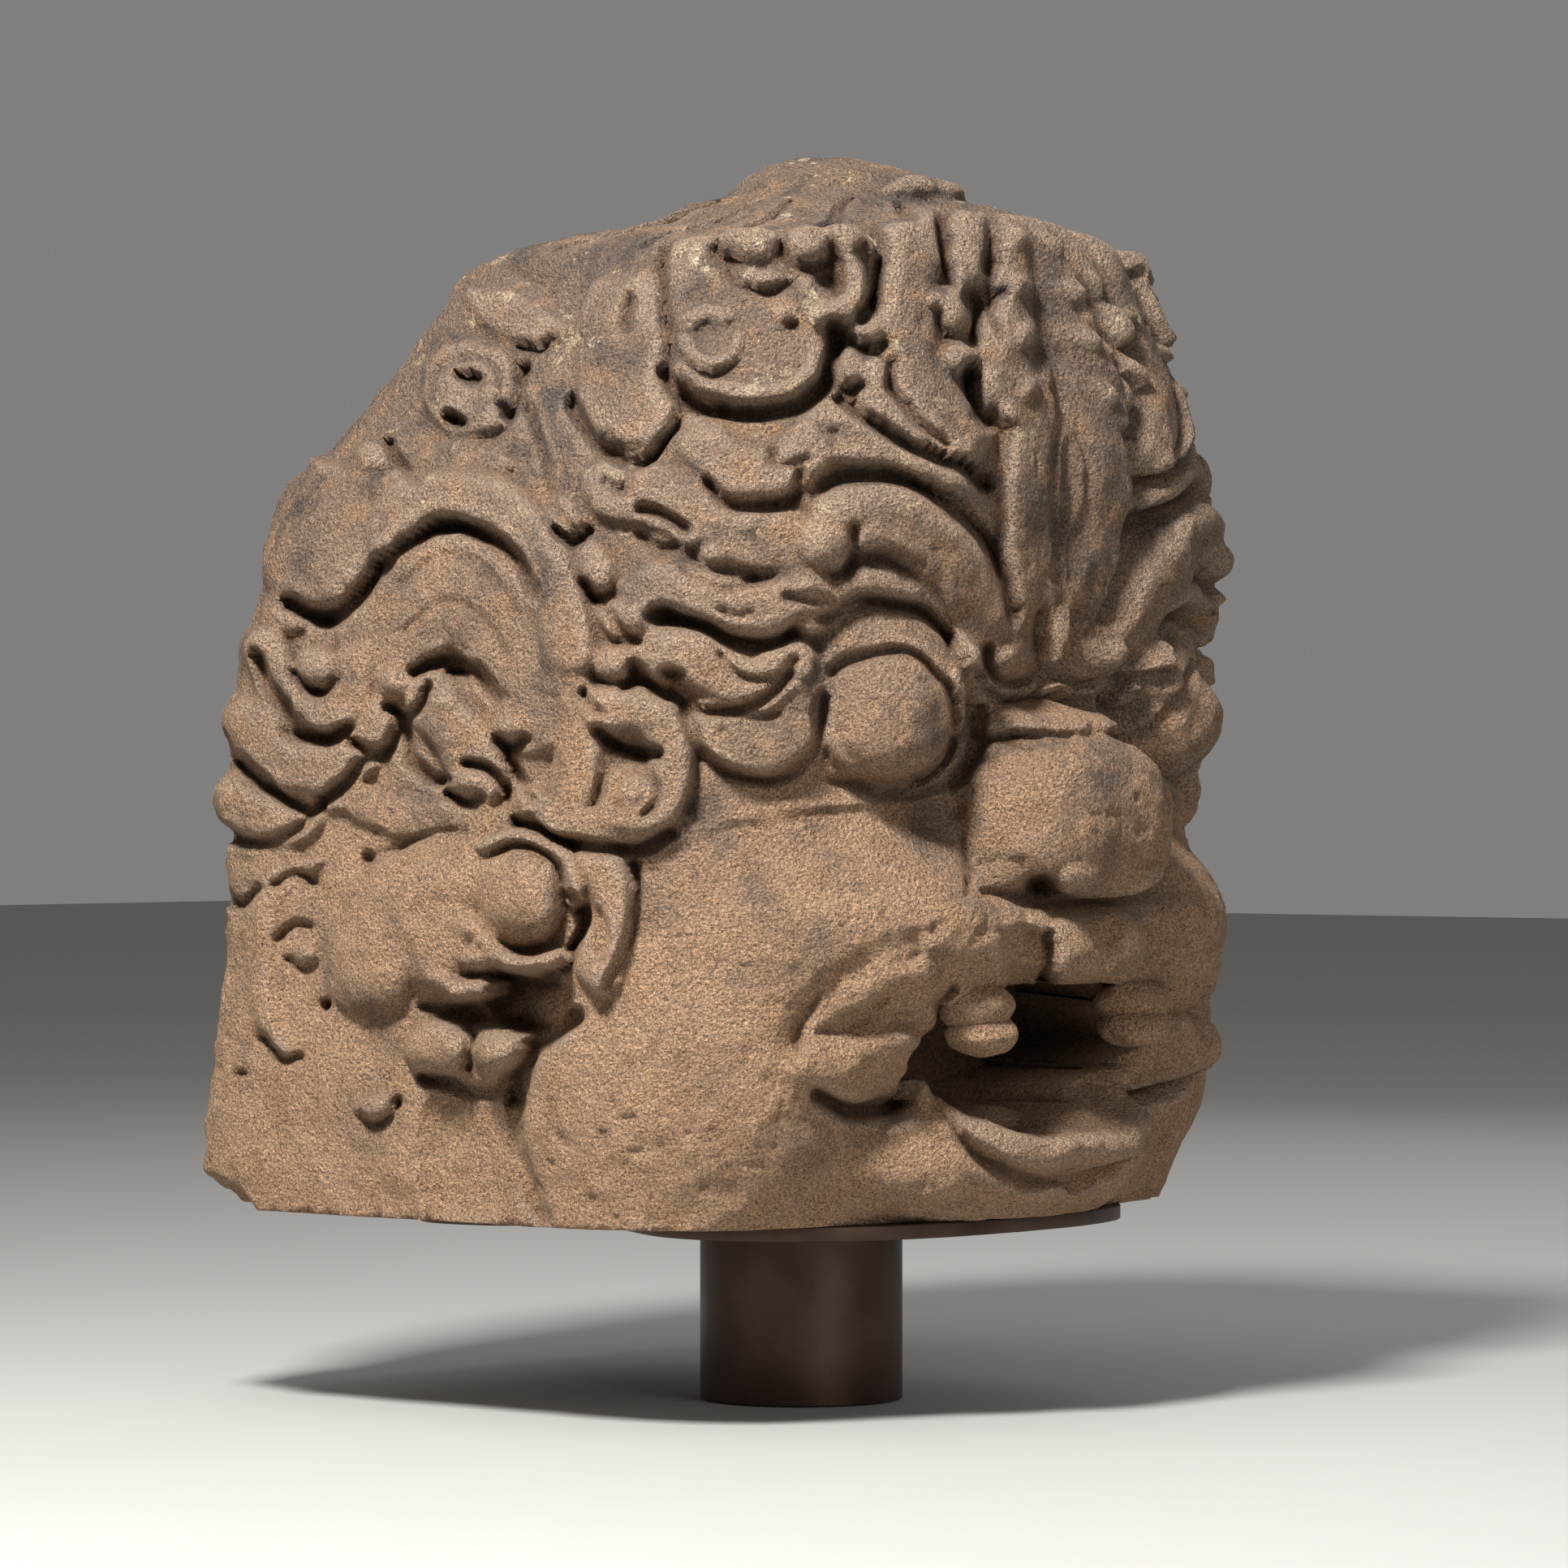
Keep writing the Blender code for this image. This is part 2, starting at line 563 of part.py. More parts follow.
def surface_normals(points, faces):
    """Outward normal at each point of the stone, from the faces round it."""
    corners = points[faces]
    across = np.cross(corners[:, 2] - corners[:, 0], corners[:, 3] - corners[:, 1])
    normals = np.zeros_like(points)
    for corner in range(4):
        np.add.at(normals, faces[:, corner], across)
    normals /= np.maximum(np.linalg.norm(normals, axis=1), 1e-9)[:, None]
    outward = np.sign(np.sum(normals * (points - np.array(HEART)), axis=1).mean())
    return normals * outward


def carving_ways(points, normals):
    """The way the carving stands out: square to the stone, turned towards the sheet where it faces that."""
    hand = np.clip(points[:, 0] / MIDLINE_TURN, -1.0, 1.0)
    forward = np.full(len(points), -math.cos(SHEET_AZIMUTH))
    towards = np.stack([-math.sin(SHEET_AZIMUTH) * hand, forward, np.zeros(len(points))], axis=1)
    towards /= np.linalg.norm(towards, axis=1)[:, None]
    facing = smooth_step(np.sum(towards * normals, axis=1), -0.1, 0.45)
    ways = normals + (TURN_TO_SHEET * facing)[:, None] * towards
    return ways / np.linalg.norm(ways, axis=1)[:, None]


def plain_relief(points, normals, faces_sheet, faces_up):
    """Thickness of carving on the back and the top of the stone."""
    side = np.abs(points[:, 0])
    behind = carve(back_carving(), side, points[:, 2]) * (1.0 - faces_sheet) * (1.0 - faces_up)
    return behind + carve(crown_carving(), side, points[:, 1]) * faces_up


def relief(points, normals, ways, lean):
    """Thickness of carving: the first, going in from the highest, that the marks seen there reach."""
    mirror = np.where(points[:, :1] > 0.0, MIRROR_SIDE, 1.0)
    across_x, along_y = (normals * mirror)[:, :2].T
    nearness = across_x * math.sin(SHEET_AZIMUTH) - along_y * math.cos(SHEET_AZIMUTH)
    faces_sheet = smooth_step(nearness, -0.35, 0.0)
    faces_up = smooth_step(normals[:, 2], 0.7, 0.95)
    plain = plain_relief(points, normals, faces_sheet, faces_up)
    share = faces_sheet * (1.0 - faces_up)
    start = points * mirror
    way = ways * mirror / lean[:, None]

    def over(thickness):
        """Height of the marks over a given thickness of stone."""
        a, z = to_sheet(start + way * thickness[:, None])
        return carve(SIDE_CARVING, a, z) * share + plain - thickness

    high = np.full(len(points), HIGHEST_CARVING)
    low = np.full(len(points), DEEPEST_CARVING)
    found = np.zeros(len(points), dtype=bool)
    steps = np.linspace(HIGHEST_CARVING, DEEPEST_CARVING, 24)
    for above, below in zip(steps[:-1], steps[1:]):
        hit = ~found & (over(np.full(len(points), below)) >= 0.0)
        high[hit] = above
        low[hit] = below
        found |= hit
    for _ in range(4):
        middle = 0.5 * (high + low)
        reached = over(middle) >= 0.0
        low = np.where(reached, middle, low)
        high = np.where(reached, high, middle)
    return np.where(found, low, DEEPEST_CARVING)


def soften(points, faces, passes):
    """Wears the edges: each point goes half the way to the mean of its faces' corners, some times over."""
    count = np.bincount(faces.ravel(), minlength=len(points))[:, None]
    for _ in range(passes):
        means = points[faces].mean(axis=1)
        total = np.zeros_like(points)
        for corner in range(4):
            np.add.at(total, faces[:, corner], means)
        points = 0.5 * points + 0.5 * total / count
    return points


def inside_rim(x, z):
    """How far each place lies inside the mouth's rim, negative outside, and the rim's nearest point."""
    line = smooth_line(MOUTH_RIM + MOUTH_RIM[:1], 4)
    nearest = np.full(len(x), np.inf)
    at = np.zeros((len(x), 2))
    crossings = np.zeros(len(x), dtype=int)
    for p, q in zip(line[:-1], line[1:]):
        run = q - p
        t = np.clip(((x - p[0]) * run[0] + (z - p[1]) * run[1]) / max(run @ run, 1e-9), 0.0, 1.0)
        foot = p + t[:, None] * run
        away = np.hypot(x - foot[:, 0], z - foot[:, 1])
        closer = away < nearest
        nearest[closer] = away[closer]
        at[closer] = foot[closer]
        if run[1]:
            spans = (p[1] > z) != (q[1] > z)
            crossings += spans & (x < p[0] + (z - p[1]) * run[0] / run[1])
    return np.where(crossings % 2, nearest, -nearest), at


def hollow_mouth(points, pitch):
    """Sets the face back behind the lips as a pocket that widens inward, with a clean rim."""
    rounding, rounded_back = RIM_ROUNDING
    low = np.min(MOUTH_RIM, axis=0) - rounding
    high = np.max(MOUTH_RIM, axis=0) + rounding
    x, y, z = points.T
    near = np.flatnonzero((y < MOUTH_FRONT) & (x > low[0]) & (x < high[0]) & (z > low[1]) & (z < high[1]))
    inside, at = inside_rim(x[near], z[near])
    laid = np.abs(inside) < 0.5 * pitch
    points[near[laid], 0] = at[laid, 0]
    points[near[laid], 2] = at[laid, 1]
    points[near, 1] += rounded_back * smooth_step(inside, -rounding, 0.0) ** 2
    pushed = near[inside >= 0.5 * pitch]
    points[pushed, 0] = MOUTH_MIDDLE[0] + (points[pushed, 0] - MOUTH_MIDDLE[0]) * MOUTH_FLARE[0]
    points[pushed, 2] = MOUTH_MIDDLE[1] + (points[pushed, 2] - MOUTH_MIDDLE[1]) * MOUTH_FLARE[1]
    points[pushed, 1] += MOUTH_DEPTH
    return points


def cut_underside(points, pitch):
    """Cuts the stone flat at the seat: points well under it are drawn back to the heart, those by it are raised."""
    heart = np.array(HEART)
    well_under = points[:, 2] < DRAWN_SEAT - 1.2 * pitch
    share = (DRAWN_SEAT - heart[2]) / (points[well_under, 2] - heart[2])
    points[well_under] = heart + (points[well_under] - heart) * share[:, None]
    points[:, 2] = np.maximum(points[:, 2], DRAWN_SEAT)
    return points


def stone_points(rays, faces):
    """The carved surface in drawn millimetres, its mouth hollowed and its underside flat at the seat."""
    points = np.array(HEART) + rays * reach_stone(rays)[:, None]
    normals = surface_normals(points, faces)
    ways = carving_ways(points, normals)
    lean = np.clip(np.sum(normals * ways, axis=1), 0.5, 1.0)
    points = points + ways * (relief(points, normals, ways, lean) / lean)[:, None]
    points = soften(points, faces, WEAR_PASSES)
    pitch = RIM_REACH * 0.5 * math.pi / GRID_CELLS
    return cut_underside(hollow_mouth(points, pitch), pitch)


def to_world(points):
    """Drawn millimetres to metres, seated on the plate."""
    return (points - np.array([0.0, 0.0, DRAWN_SEAT])) * SCALE + np.array([0.0, 0.0, SEAT])


def material(name, colour, roughness, metallic):
    """A plain finish."""
    finish = bpy.data.materials.new(name)
    finish.use_nodes = True
    shader = finish.node_tree.nodes["Principled BSDF"]
    shader.inputs["Base Color"].default_value = (*colour, 1.0)
    shader.inputs["Roughness"].default_value = roughness
    shader.inputs["Metallic"].default_value = metallic
    return finish


def place(obj, collection, finish):
    """Moves an object to the part's collection and gives it its finish."""
    for held_in in list(obj.users_collection):
        held_in.objects.unlink(obj)
    collection.objects.link(obj)
    obj.data.materials.clear()
    obj.data.materials.append(finish)
    return obj


def cube_of_rays():
    """A cube primitive with gridded faces, and the unit ray through each of its vertices."""
    bpy.ops.mesh.primitive_cube_add(size=2.0)
    obj = bpy.context.object
    bpy.ops.object.mode_set(mode="EDIT")
    bpy.ops.mesh.select_all(action="SELECT")
    for cuts in GRID_CUTS:
        bpy.ops.mesh.subdivide(number_cuts=cuts)
    bpy.ops.object.mode_set(mode="OBJECT")
    rays = np.empty(len(obj.data.vertices) * 3, dtype=np.float32)
    obj.data.vertices.foreach_get("co", rays)
    rays = np.tan(rays.reshape(-1, 3).astype(float) * math.pi / 4.0)
    return obj, rays / np.linalg.norm(rays, axis=1)[:, None]


def quads_of(mesh):
    """Vertex numbers of each four-sided face."""
    corners = np.empty(len(mesh.loops), dtype=np.int32)
    mesh.loops.foreach_get("vertex_index", corners)
    return corners.reshape(-1, 4)


def add_lumps(obj):
    """Joins the fangs and the tongue to the stone, as rounded lumps."""
    placed = [(lobe, hand) for lobe in FANG_LOBES for hand in (-1.0, 1.0)]
    placed.append((TONGUE, 1.0))
    lumps = []
    for mass, hand in placed:
        bpy.ops.mesh.primitive_ico_sphere_add(subdivisions=2, radius=1.0)
        lump = bpy.context.object
        co = np.empty(len(lump.data.vertices) * 3, dtype=np.float32)
        lump.data.vertices.foreach_get("co", co)
        centre = np.array(mass.centre) * np.array([hand, 1.0, 1.0])
        points = co.reshape(-1, 3) * np.array(mass.radii) + centre
        lump.data.vertices.foreach_set("co", to_world(points).astype(np.float32).ravel())
        join = obj.modifiers.new("Join a lump", "BOOLEAN")
        join.operation = "UNION"
        join.solver = "EXACT"
        join.object = lump
        lumps.append(lump)
    return lumps


def apply_modifiers(obj):
    """Keeps what the object's modifiers make as its own mesh."""
    made = bpy.data.meshes.new_from_object(obj.evaluated_get(bpy.context.evaluated_depsgraph_get()))
    obj.modifiers.clear()
    obj.data = made


def build_head(collection):
    """The stone: rays from its heart reach out to the carved surface, then the faces are thinned."""
    obj, rays = cube_of_rays()
    obj.name = "stone_head"
    obj.data.name = "stone_head"
    points = to_world(stone_points(rays, quads_of(obj.data)))
    obj.data.vertices.foreach_set("co", points.astype(np.float32).ravel())
    obj.data.update()
    thin = obj.modifiers.new("Thin the faces", "DECIMATE")
    thin.ratio = KEPT_SHARE
    apply_modifiers(obj)
    settle_on_seat(obj.data)
    lumps = add_lumps(obj)
    apply_modifiers(obj)
    for lump in lumps:
        bpy.data.objects.remove(lump, do_unlink=True)
    obj.data.shade_smooth()
    obj.data.set_sharp_from_angle(angle=math.radians(50.0))
    return place(obj, collection, material("weathered_volcanic_stone", (0.23, 0.165, 0.115), 0.93, 0.0))


def settle_on_seat(mesh):
    """Lays the rim that thinning lifted or lowered back on the flat underside."""
    co = np.empty(len(mesh.vertices) * 3, dtype=np.float32)
    mesh.vertices.foreach_get("co", co)
    co = co.reshape(-1, 3)
    co[co[:, 2] < SEAT + 0.0012, 2] = SEAT
    mesh.vertices.foreach_set("co", co.ravel())
    mesh.update()


def plate_outline():
    """The plate's lobed edge, drawn clockwise from the front in shares of the stone's size, in metres."""
    half = (
        (0, -196),
        (80, -190),
        (150, -165),
        (196, -110),
        (200, -50),
        (170, 10),
        (142, 48),
        (150, 84),
        (186, 120),
        (190, 180),
        (140, 222),
        (60, 232),
        (0, 230),
    )
    line = smooth_line(half, 5)
    whole = np.vstack([line, line[-2:0:-1] * np.array([-1.0, 1.0])])
    return whole * SCALE


def build_plate(collection):
    """The cradle plate: a flat outline given its thickness, with its edges just broken."""
    curve = bpy.data.curves.new("cradle_plate", "CURVE")
    curve.dimensions = "2D"
    curve.fill_mode = "BOTH"
    curve.extrude = PLATE_THICKNESS / 2.0
    outline = plate_outline()
    spline = curve.splines.new("POLY")
    spline.points.add(len(outline) - 1)
    for point, (x, y) in zip(spline.points, outline):
        point.co = (x, y, 0.0, 1.0)
    spline.use_cyclic_u = True
    obj = bpy.data.objects.new("cradle_plate", curve)
    obj.location.z = POST_HEIGHT + FIT_GAP + PLATE_THICKNESS / 2.0
    place(obj, collection, material("dark_bronzed_steel", (0.045, 0.032, 0.026), 0.45, 0.9))
    weld = obj.modifiers.new("Close the caps", "WELD")
    weld.merge_threshold = 0.00005
    bevel = obj.modifiers.new("Break the edges", "BEVEL")
    bevel.width = PLATE_EDGE_BEVEL
    bevel.segments = 1
    bevel.limit_method = "ANGLE"
    bevel.angle_limit = math.radians(60.0)
    return obj


def build_post(collection):
    """The round post, standing on its flat foot."""
    bpy.ops.mesh.primitive_cylinder_add(
        vertices=POST_SIDES,
        radius=POST_DIAMETER / 2.0,
        depth=POST_HEIGHT,
        location=(0.0, 0.0, POST_HEIGHT / 2.0),
    )
    obj = bpy.context.object
    obj.name = "support_post"
    obj.data.name = "support_post"
    obj.data.shade_smooth()
    obj.data.set_sharp_from_angle(angle=math.radians(40.0))
    return place(obj, collection, material("dark_bronzed_steel_post", (0.05, 0.034, 0.027), 0.42, 0.9))


def main():
    """Clears the scene and builds the three pieces."""
    for obj in list(bpy.data.objects):
        bpy.data.objects.remove(obj, do_unlink=True)
    collection = bpy.data.collections.new("stone_lion_head")
    bpy.context.scene.collection.children.link(collection)
    build_post(collection)
    build_plate(collection)
    build_head(collection)


main()
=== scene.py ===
"""Looks of a weathered volcanic-stone lion head on a bronzed steel cradle plate and post.

The head is one surface over a gridded cube of rays: each ray runs out from the heart of the stone to the
face of its masses, and the carving, drawn in millimetres on an upright sheet, raises or sinks that face.
"""
import logging
import math
from dataclasses import dataclass, field
from enum import Enum

import bmesh
import bpy
import numpy as np
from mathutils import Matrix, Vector


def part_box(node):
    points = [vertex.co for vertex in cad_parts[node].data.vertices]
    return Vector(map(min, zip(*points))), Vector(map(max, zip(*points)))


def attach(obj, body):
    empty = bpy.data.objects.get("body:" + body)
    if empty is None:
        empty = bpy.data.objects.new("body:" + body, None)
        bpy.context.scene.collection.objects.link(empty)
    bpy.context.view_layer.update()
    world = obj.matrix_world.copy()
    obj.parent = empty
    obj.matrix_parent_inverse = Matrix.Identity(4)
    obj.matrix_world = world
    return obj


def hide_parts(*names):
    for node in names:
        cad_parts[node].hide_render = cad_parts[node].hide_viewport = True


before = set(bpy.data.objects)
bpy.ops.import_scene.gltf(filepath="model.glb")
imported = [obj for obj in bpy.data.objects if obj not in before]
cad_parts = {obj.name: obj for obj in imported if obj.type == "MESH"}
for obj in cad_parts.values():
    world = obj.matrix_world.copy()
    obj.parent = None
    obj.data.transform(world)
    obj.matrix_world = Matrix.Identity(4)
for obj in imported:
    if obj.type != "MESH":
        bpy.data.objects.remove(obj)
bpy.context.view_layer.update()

LOG = logging.getLogger("lion_head")

Array = np.ndarray
Point = tuple[float, float]
Place = tuple[float, float, float]
Limits = tuple[float, float]
Colour = tuple[float, float, float, float]
Socket = bpy.types.NodeSocket

MM = 0.001
BODY = "root"


class Taper(Enum):
    """How a chisel stroke's width dies away along its length."""

    EVEN = "even"
    TAIL = "tail"
    BOTH = "both"


class Profile(Enum):
    """The section of a mark: (1 - t^n)^p for t from its middle to its edge, as the pair n, p."""

    ROUND = (2.0, 0.5)
    WORN = (2.0, 0.8)
    FLAT = (4.0, 0.6)
    SHELF = (7.0, 0.7)

    def height(self, t: Array) -> Array:
        """Share of the full height at t, the distance from the middle as a share of the way to the edge."""
        n, p = self.value
        return np.clip(1.0 - t**n, 0.0, 1.0) ** p


def smooth_step(value: Array, low: float, high: float) -> Array:
    """Rises from 0 to 1 with level ends: 3t^2 - 2t^3, where t is value's share of the way from low to high.

    Args:
        value: Any array.
        low: Where the rise starts.
        high: Where it ends.

    Returns:
        An array of the same shape.
    """
    t = np.clip((value - low) / (high - low), 0.0, 1.0)
    return t * t * (3.0 - 2.0 * t)


def smooth_line(points: tuple[Point, ...], per_span: int = 7) -> Array:
    """A smooth curve: each span is the cubic that leaves its ends along the line between their neighbours.

    Args:
        points: Two or more points that the curve passes through.
        per_span: Points made for each span.

    Returns:
        The curve's points, one a row.
    """
    p = np.array(points, dtype=float)
    p = np.vstack([2.0 * p[0] - p[1], p, 2.0 * p[-1] - p[-2]])
    t = np.linspace(0.0, 1.0, per_span, endpoint=False)[:, None]
    spans = [
        0.5 * (2 * b + (c - a) * t + (2 * a - 5 * b + 4 * c - d) * t**2 + (3 * b - a - 3 * c + d) * t**3)
        for a, b, c, d in zip(p[:-3], p[1:-2], p[2:-1], p[3:])
    ]
    return np.vstack(spans + [p[-2:-1]])


def share_along(a: Array, z: Array, start: Array, end: Array) -> Array:
    """Share of the way from start to end at which each place lies beside it, kept from 0 to 1.

    Args:
        a: Places across.
        z: Places up.
        start: Where the straight piece of line starts.
        end: Where it ends.

    Returns:
        One share a place: the offset from start times the run, over the run times itself.
    """
    run = end - start
    return np.clip(((a - start[0]) * run[0] + (z - start[1]) * run[1]) / max(run @ run, 1e-9), 0.0, 1.0)


def arc(centre: Point, radii: Point, start: float, end: float, count: int = 9) -> tuple[Point, ...]:
    """Points along an elliptical arc: centre plus radii times cosine and sine of angles from start to end.

    Args:
        centre: Middle of the ellipse on the sheet.
        radii: Half-width and half-height.
        start: First angle in degrees, counter-clockwise from the right.
        end: Last angle in degrees.
        count: How many points.

    Returns:
        The points, in order.
    """
    angles = np.radians(np.linspace(start, end, count))
    return tuple((centre[0] + radii[0] * math.cos(t), centre[1] + radii[1] * math.sin(t)) for t in angles)


def spiral(
    centre: Point, radius: float, start: float, turns: float, inner: float = 0.33
) -> tuple[Point, ...]:
    """Points along a spiral whose radius falls evenly from its full size to its inner share.

    Args:
        centre: Eye of the spiral.
        radius: Outer radius.
        start: First angle in degrees.
        turns: Turns made, clockwise where negative.
        inner: Share of the radius that is left at the end.

    Returns:
        The points, from outside in.
    """
    steps = np.linspace(0.0, 1.0, max(8, int(14 * abs(turns))))
    angles = np.radians(start + 360.0 * turns * steps)
    reach = radius * (1.0 - (1.0 - inner) * steps)
    return tuple((centre[0] + r * math.cos(t), centre[1] + r * math.sin(t)) for r, t in zip(reach, angles))


@dataclass(frozen=True)
class Stroke:
    """A mark along a smooth line: raised where its height is positive, cut where it is negative."""

    points: tuple[Point, ...]
    half_width: float
    height: float
    taper: Taper = Taper.EVEN
    profile: Profile = Profile.FLAT

    def reach(self) -> tuple[Array, Array]:
        """Lowest and highest corner of the sheet that the stroke touches."""
        points = np.array(self.points)
        return points.min(axis=0) - 1.7 * self.half_width, points.max(axis=0) + 1.7 * self.half_width

    def widths(self, count: int) -> Array:
        """Half-width at each of count points: full, or falling to an end as the root of the way to it.

        Args:
            count: Number of points along the line.

        Returns:
            The half-widths.
        """
        along = np.linspace(0.0, 1.0, count)
        way = {
            Taper.EVEN: np.ones(count),
            Taper.TAIL: 2.0 * (1.0 - along),
            Taper.BOTH: 3.0 * np.minimum(along, 1.0 - along),
        }[self.taper]
        return self.half_width * np.sqrt(np.clip(way, 0.04, 1.0))

    def relief(self, a: Array, z: Array) -> Array:
        """Height times the profile, whose t is the distance to the line in half-widths.

        Args:
            a: Places across the sheet.
            z: Places up the sheet.

        Returns:
            The mark's height at each place.
        """
        line = smooth_line(self.points)
        width = self.widths(len(line))
        least = np.full(len(a), 9.0)
        for p, q, w in zip(line[:-1], line[1:], 0.5 * (width[:-1] + width[1:])):
            run = q - p
            t = share_along(a, z, p, q)
            least = np.minimum(least, np.hypot(a - p[0] - t * run[0], z - p[1] - t * run[1]) / w)
        return self.height * self.profile.height(np.minimum(least, 1.0))


@dataclass(frozen=True)
class Knob:
    """A round or oval boss, or a hollow where its height is negative."""

    at: Point
    radii: Point
    height: float
    turn: float = 0.0
    square: float = 2.0
    profile: Profile = Profile.ROUND

    def reach(self) -> tuple[Array, Array]:
        """Lowest and highest corner of the sheet that the knob touches."""
        return np.array(self.at) - max(self.radii), np.array(self.at) + max(self.radii)

    def relief(self, a: Array, z: Array) -> Array:
        """Height times the profile, whose t is the turned place's norm in half-sizes, by the squareness.

        Args:
            a: Places across the sheet.
            z: Places up the sheet.

        Returns:
            The mark's height at each place.
        """
        c, s = math.cos(math.radians(self.turn)), math.sin(math.radians(self.turn))
        u = ((a - self.at[0]) * c + (z - self.at[1]) * s) / self.radii[0]
        v = ((z - self.at[1]) * c - (a - self.at[0]) * s) / self.radii[1]
        t = (np.abs(u) ** self.square + np.abs(v) ** self.square) ** (1.0 / self.square)
        return self.height * self.profile.height(np.minimum(t, 1.0))


Mark = Stroke | Knob


@dataclass(frozen=True)
class Carving:
    """The chisel work of one side of the head, in sheet millimetres, gathered by region."""

    def brow_and_eye(self) -> tuple[Mark, ...]:
        """Brow roll, lid folds, the curl at the brow's inner end and the bridge of the nose."""
        return (
            Stroke(((30, 610), (60, 612), (88, 600), (110, 577), (125, 550), (131, 525), (128, 508)),
                   27, 24),
            Stroke(((8, 655), (35, 664), (65, 662), (95, 646), (118, 630)), 15, 13, Taper.BOTH),
            Stroke(((14, 634), (35, 643), (60, 642), (85, 632), (105, 616), (122, 602)), 4.5, -17),
            Stroke(((105, 616), (122, 602), (133, 588), (141, 568), (146, 546)), 5.5, -20),
            Stroke(((8, 540), (28, 561), (56, 567), (86, 559), (109, 538), (123, 508), (126, 486)),
                   12, 15),
            Stroke(((40, 584), (60, 589), (84, 581)), 3, -6),
            Stroke(((14, 543), (35, 556), (60, 554), (84, 546), (100, 530), (112, 514), (120, 490)),
                   4.5, -14),
            Stroke(((120, 490), (122, 465), (116, 442), (106, 430)), 6, -14),
            Knob((64, 496), (57, 55), 17, 0, 2.3, Profile.FLAT),
            Knob((58, 472), (45, 43), 29, 0, 2.5, Profile.ROUND),
            Stroke(arc((58, 472), (49, 48), 138, -70, 14), 3.5, -13),
            Stroke(arc((58, 472), (48, 46), 150, 215, 6), 3, -9, Taper.BOTH),
            Stroke(((18, 430), (45, 424), (75, 421), (104, 428)), 5, -10, Taper.BOTH),
            Knob((150, 512), (27, 25), 18, 0, 2.2, Profile.FLAT),
            Knob((147, 518), (15, 17), 31),
            Stroke(arc((147, 517), (18, 20), 170, 350, 12), 4, -15),
            Stroke(((166, 548), (164, 530), (165, 512), (168, 496)), 4, -16),
            Knob((186, 520), (15, 42), 24, 0, 3.0, Profile.FLAT),
            Stroke(((122, 506), (132, 490), (150, 483), (166, 487), (175, 500)), 4, -13),
            Stroke(((166, 700), (164, 640), (163, 590), (166, 545)), 24, 17),
            Stroke(((180, 695), (176, 630), (178, 570)), 3, -6),
            Stroke(((192, 655), (190, 620), (193, 590), (197, 558)), 6, -24),
            Stroke(((128, 472), (150, 474), (172, 475), (192, 474)), 10, 13),
            Stroke(((120, 448), (132, 459), (155, 462), (185, 460)), 3.5, -9),
            Knob((16, 596), (21, 21), 31, 0, 2.5),
            Knob((4, 567), (15, 10), 26),
            Stroke(((36, 606), (36, 590), (29, 574)), 4, -13),
            Stroke(((-12, 560), (2, 556), (18, 557)), 3, -9),
        )

    def leaves(self) -> tuple[Mark, ...]:
        """Hooked leaf locks behind the eye, each lapping over the one below."""
        return (
            Stroke(((-124, 546), (-98, 566), (-62, 557), (-32, 549), (4, 562)), 19, 21),
            Knob((-119, 546), (20, 18), 27),
            Stroke(((-138, 553), (-126, 534), (-114, 528)), 4, -14),
            Stroke(((-106, 546), (-86, 543), (-66, 537), (-46, 527), (-24, 524), (-8, 531)), 4.5, -20),
            Knob((-98, 547), (11, 6), -22, -8),
            Stroke(((-84, 579), (-68, 569), (-50, 564), (-34, 571)), 3, -8),
            Stroke(((-60, 550), (-46, 546), (-34, 548)), 2.5, -6),
            Stroke(((-102, 520), (-78, 517), (-56, 501), (-30, 494), (-8, 508)), 21, 22),
            Knob((-98, 519), (17, 18), 25),
            Stroke(((-116, 508), (-106, 495), (-94, 488)), 4.5, -18),
            Knob((-92, 504), (10, 5), -24, -10),
            Stroke(((-92, 492), (-78, 480), (-58, 476), (-38, 481), (-20, 490), (-10, 503)), 4, -16),
            Stroke(((-57, 517), (-45, 503), (-28, 498), (-14, 503), (-6, 514)), 3, -10),
            Stroke(((-66, 468), (-48, 456), (-24, 451), (-2, 461), (8, 484)), 22, 18),
            Stroke(((-82, 472), (-72, 450), (-52, 436), (-28, 430), (-8, 436), (8, 450),
                    (14, 470), (15, 488)), 4.5, -17),
            Knob((-81, 475), (7, 7), -22),
            Knob((-60, 470), (9, 8), 24),
            Stroke(((-66, 660), (-44, 646), (-18, 645), (4, 660)), 20, 17),
            Stroke(((-66, 636), (-54, 625), (-38, 619), (-18, 620), (-6, 630), (-2, 644)), 4, -15),
            Knob((-22, 656), (4, 8), -20),
            Stroke(((-22, 652), (-10, 649), (4, 654)), 3, -8),
            Stroke(((-128, 632), (-100, 628), (-70, 616), (-38, 600), (-10, 596)), 24, 13),
            Stroke(((-112, 619), (-98, 614), (-82, 606)), 4.5, -14),
            Stroke(((-113, 600), (-101, 591), (-88, 593)), 3.5, -9),
            Knob((-38, 608), (15, 11), 18),
            Knob((-60, 590), (14, 12), 17),
            Knob((-78, 600), (10, 8), 18),
            Knob((-145, 578), (14, 22), 20, 15),
            Stroke(((-152, 566), (-143, 555), (-130, 560)), 4, -16),
            Knob((-166, 612), (12, 20), 18, 15),
            Stroke(((-172, 604), (-160, 596), (-150, 604)), 4, -14),
            Knob((-136, 635), (12, 10), 14),
            Stroke(((-136, 640), (-124, 633), (-120, 645)), 3.5, -10),
        )

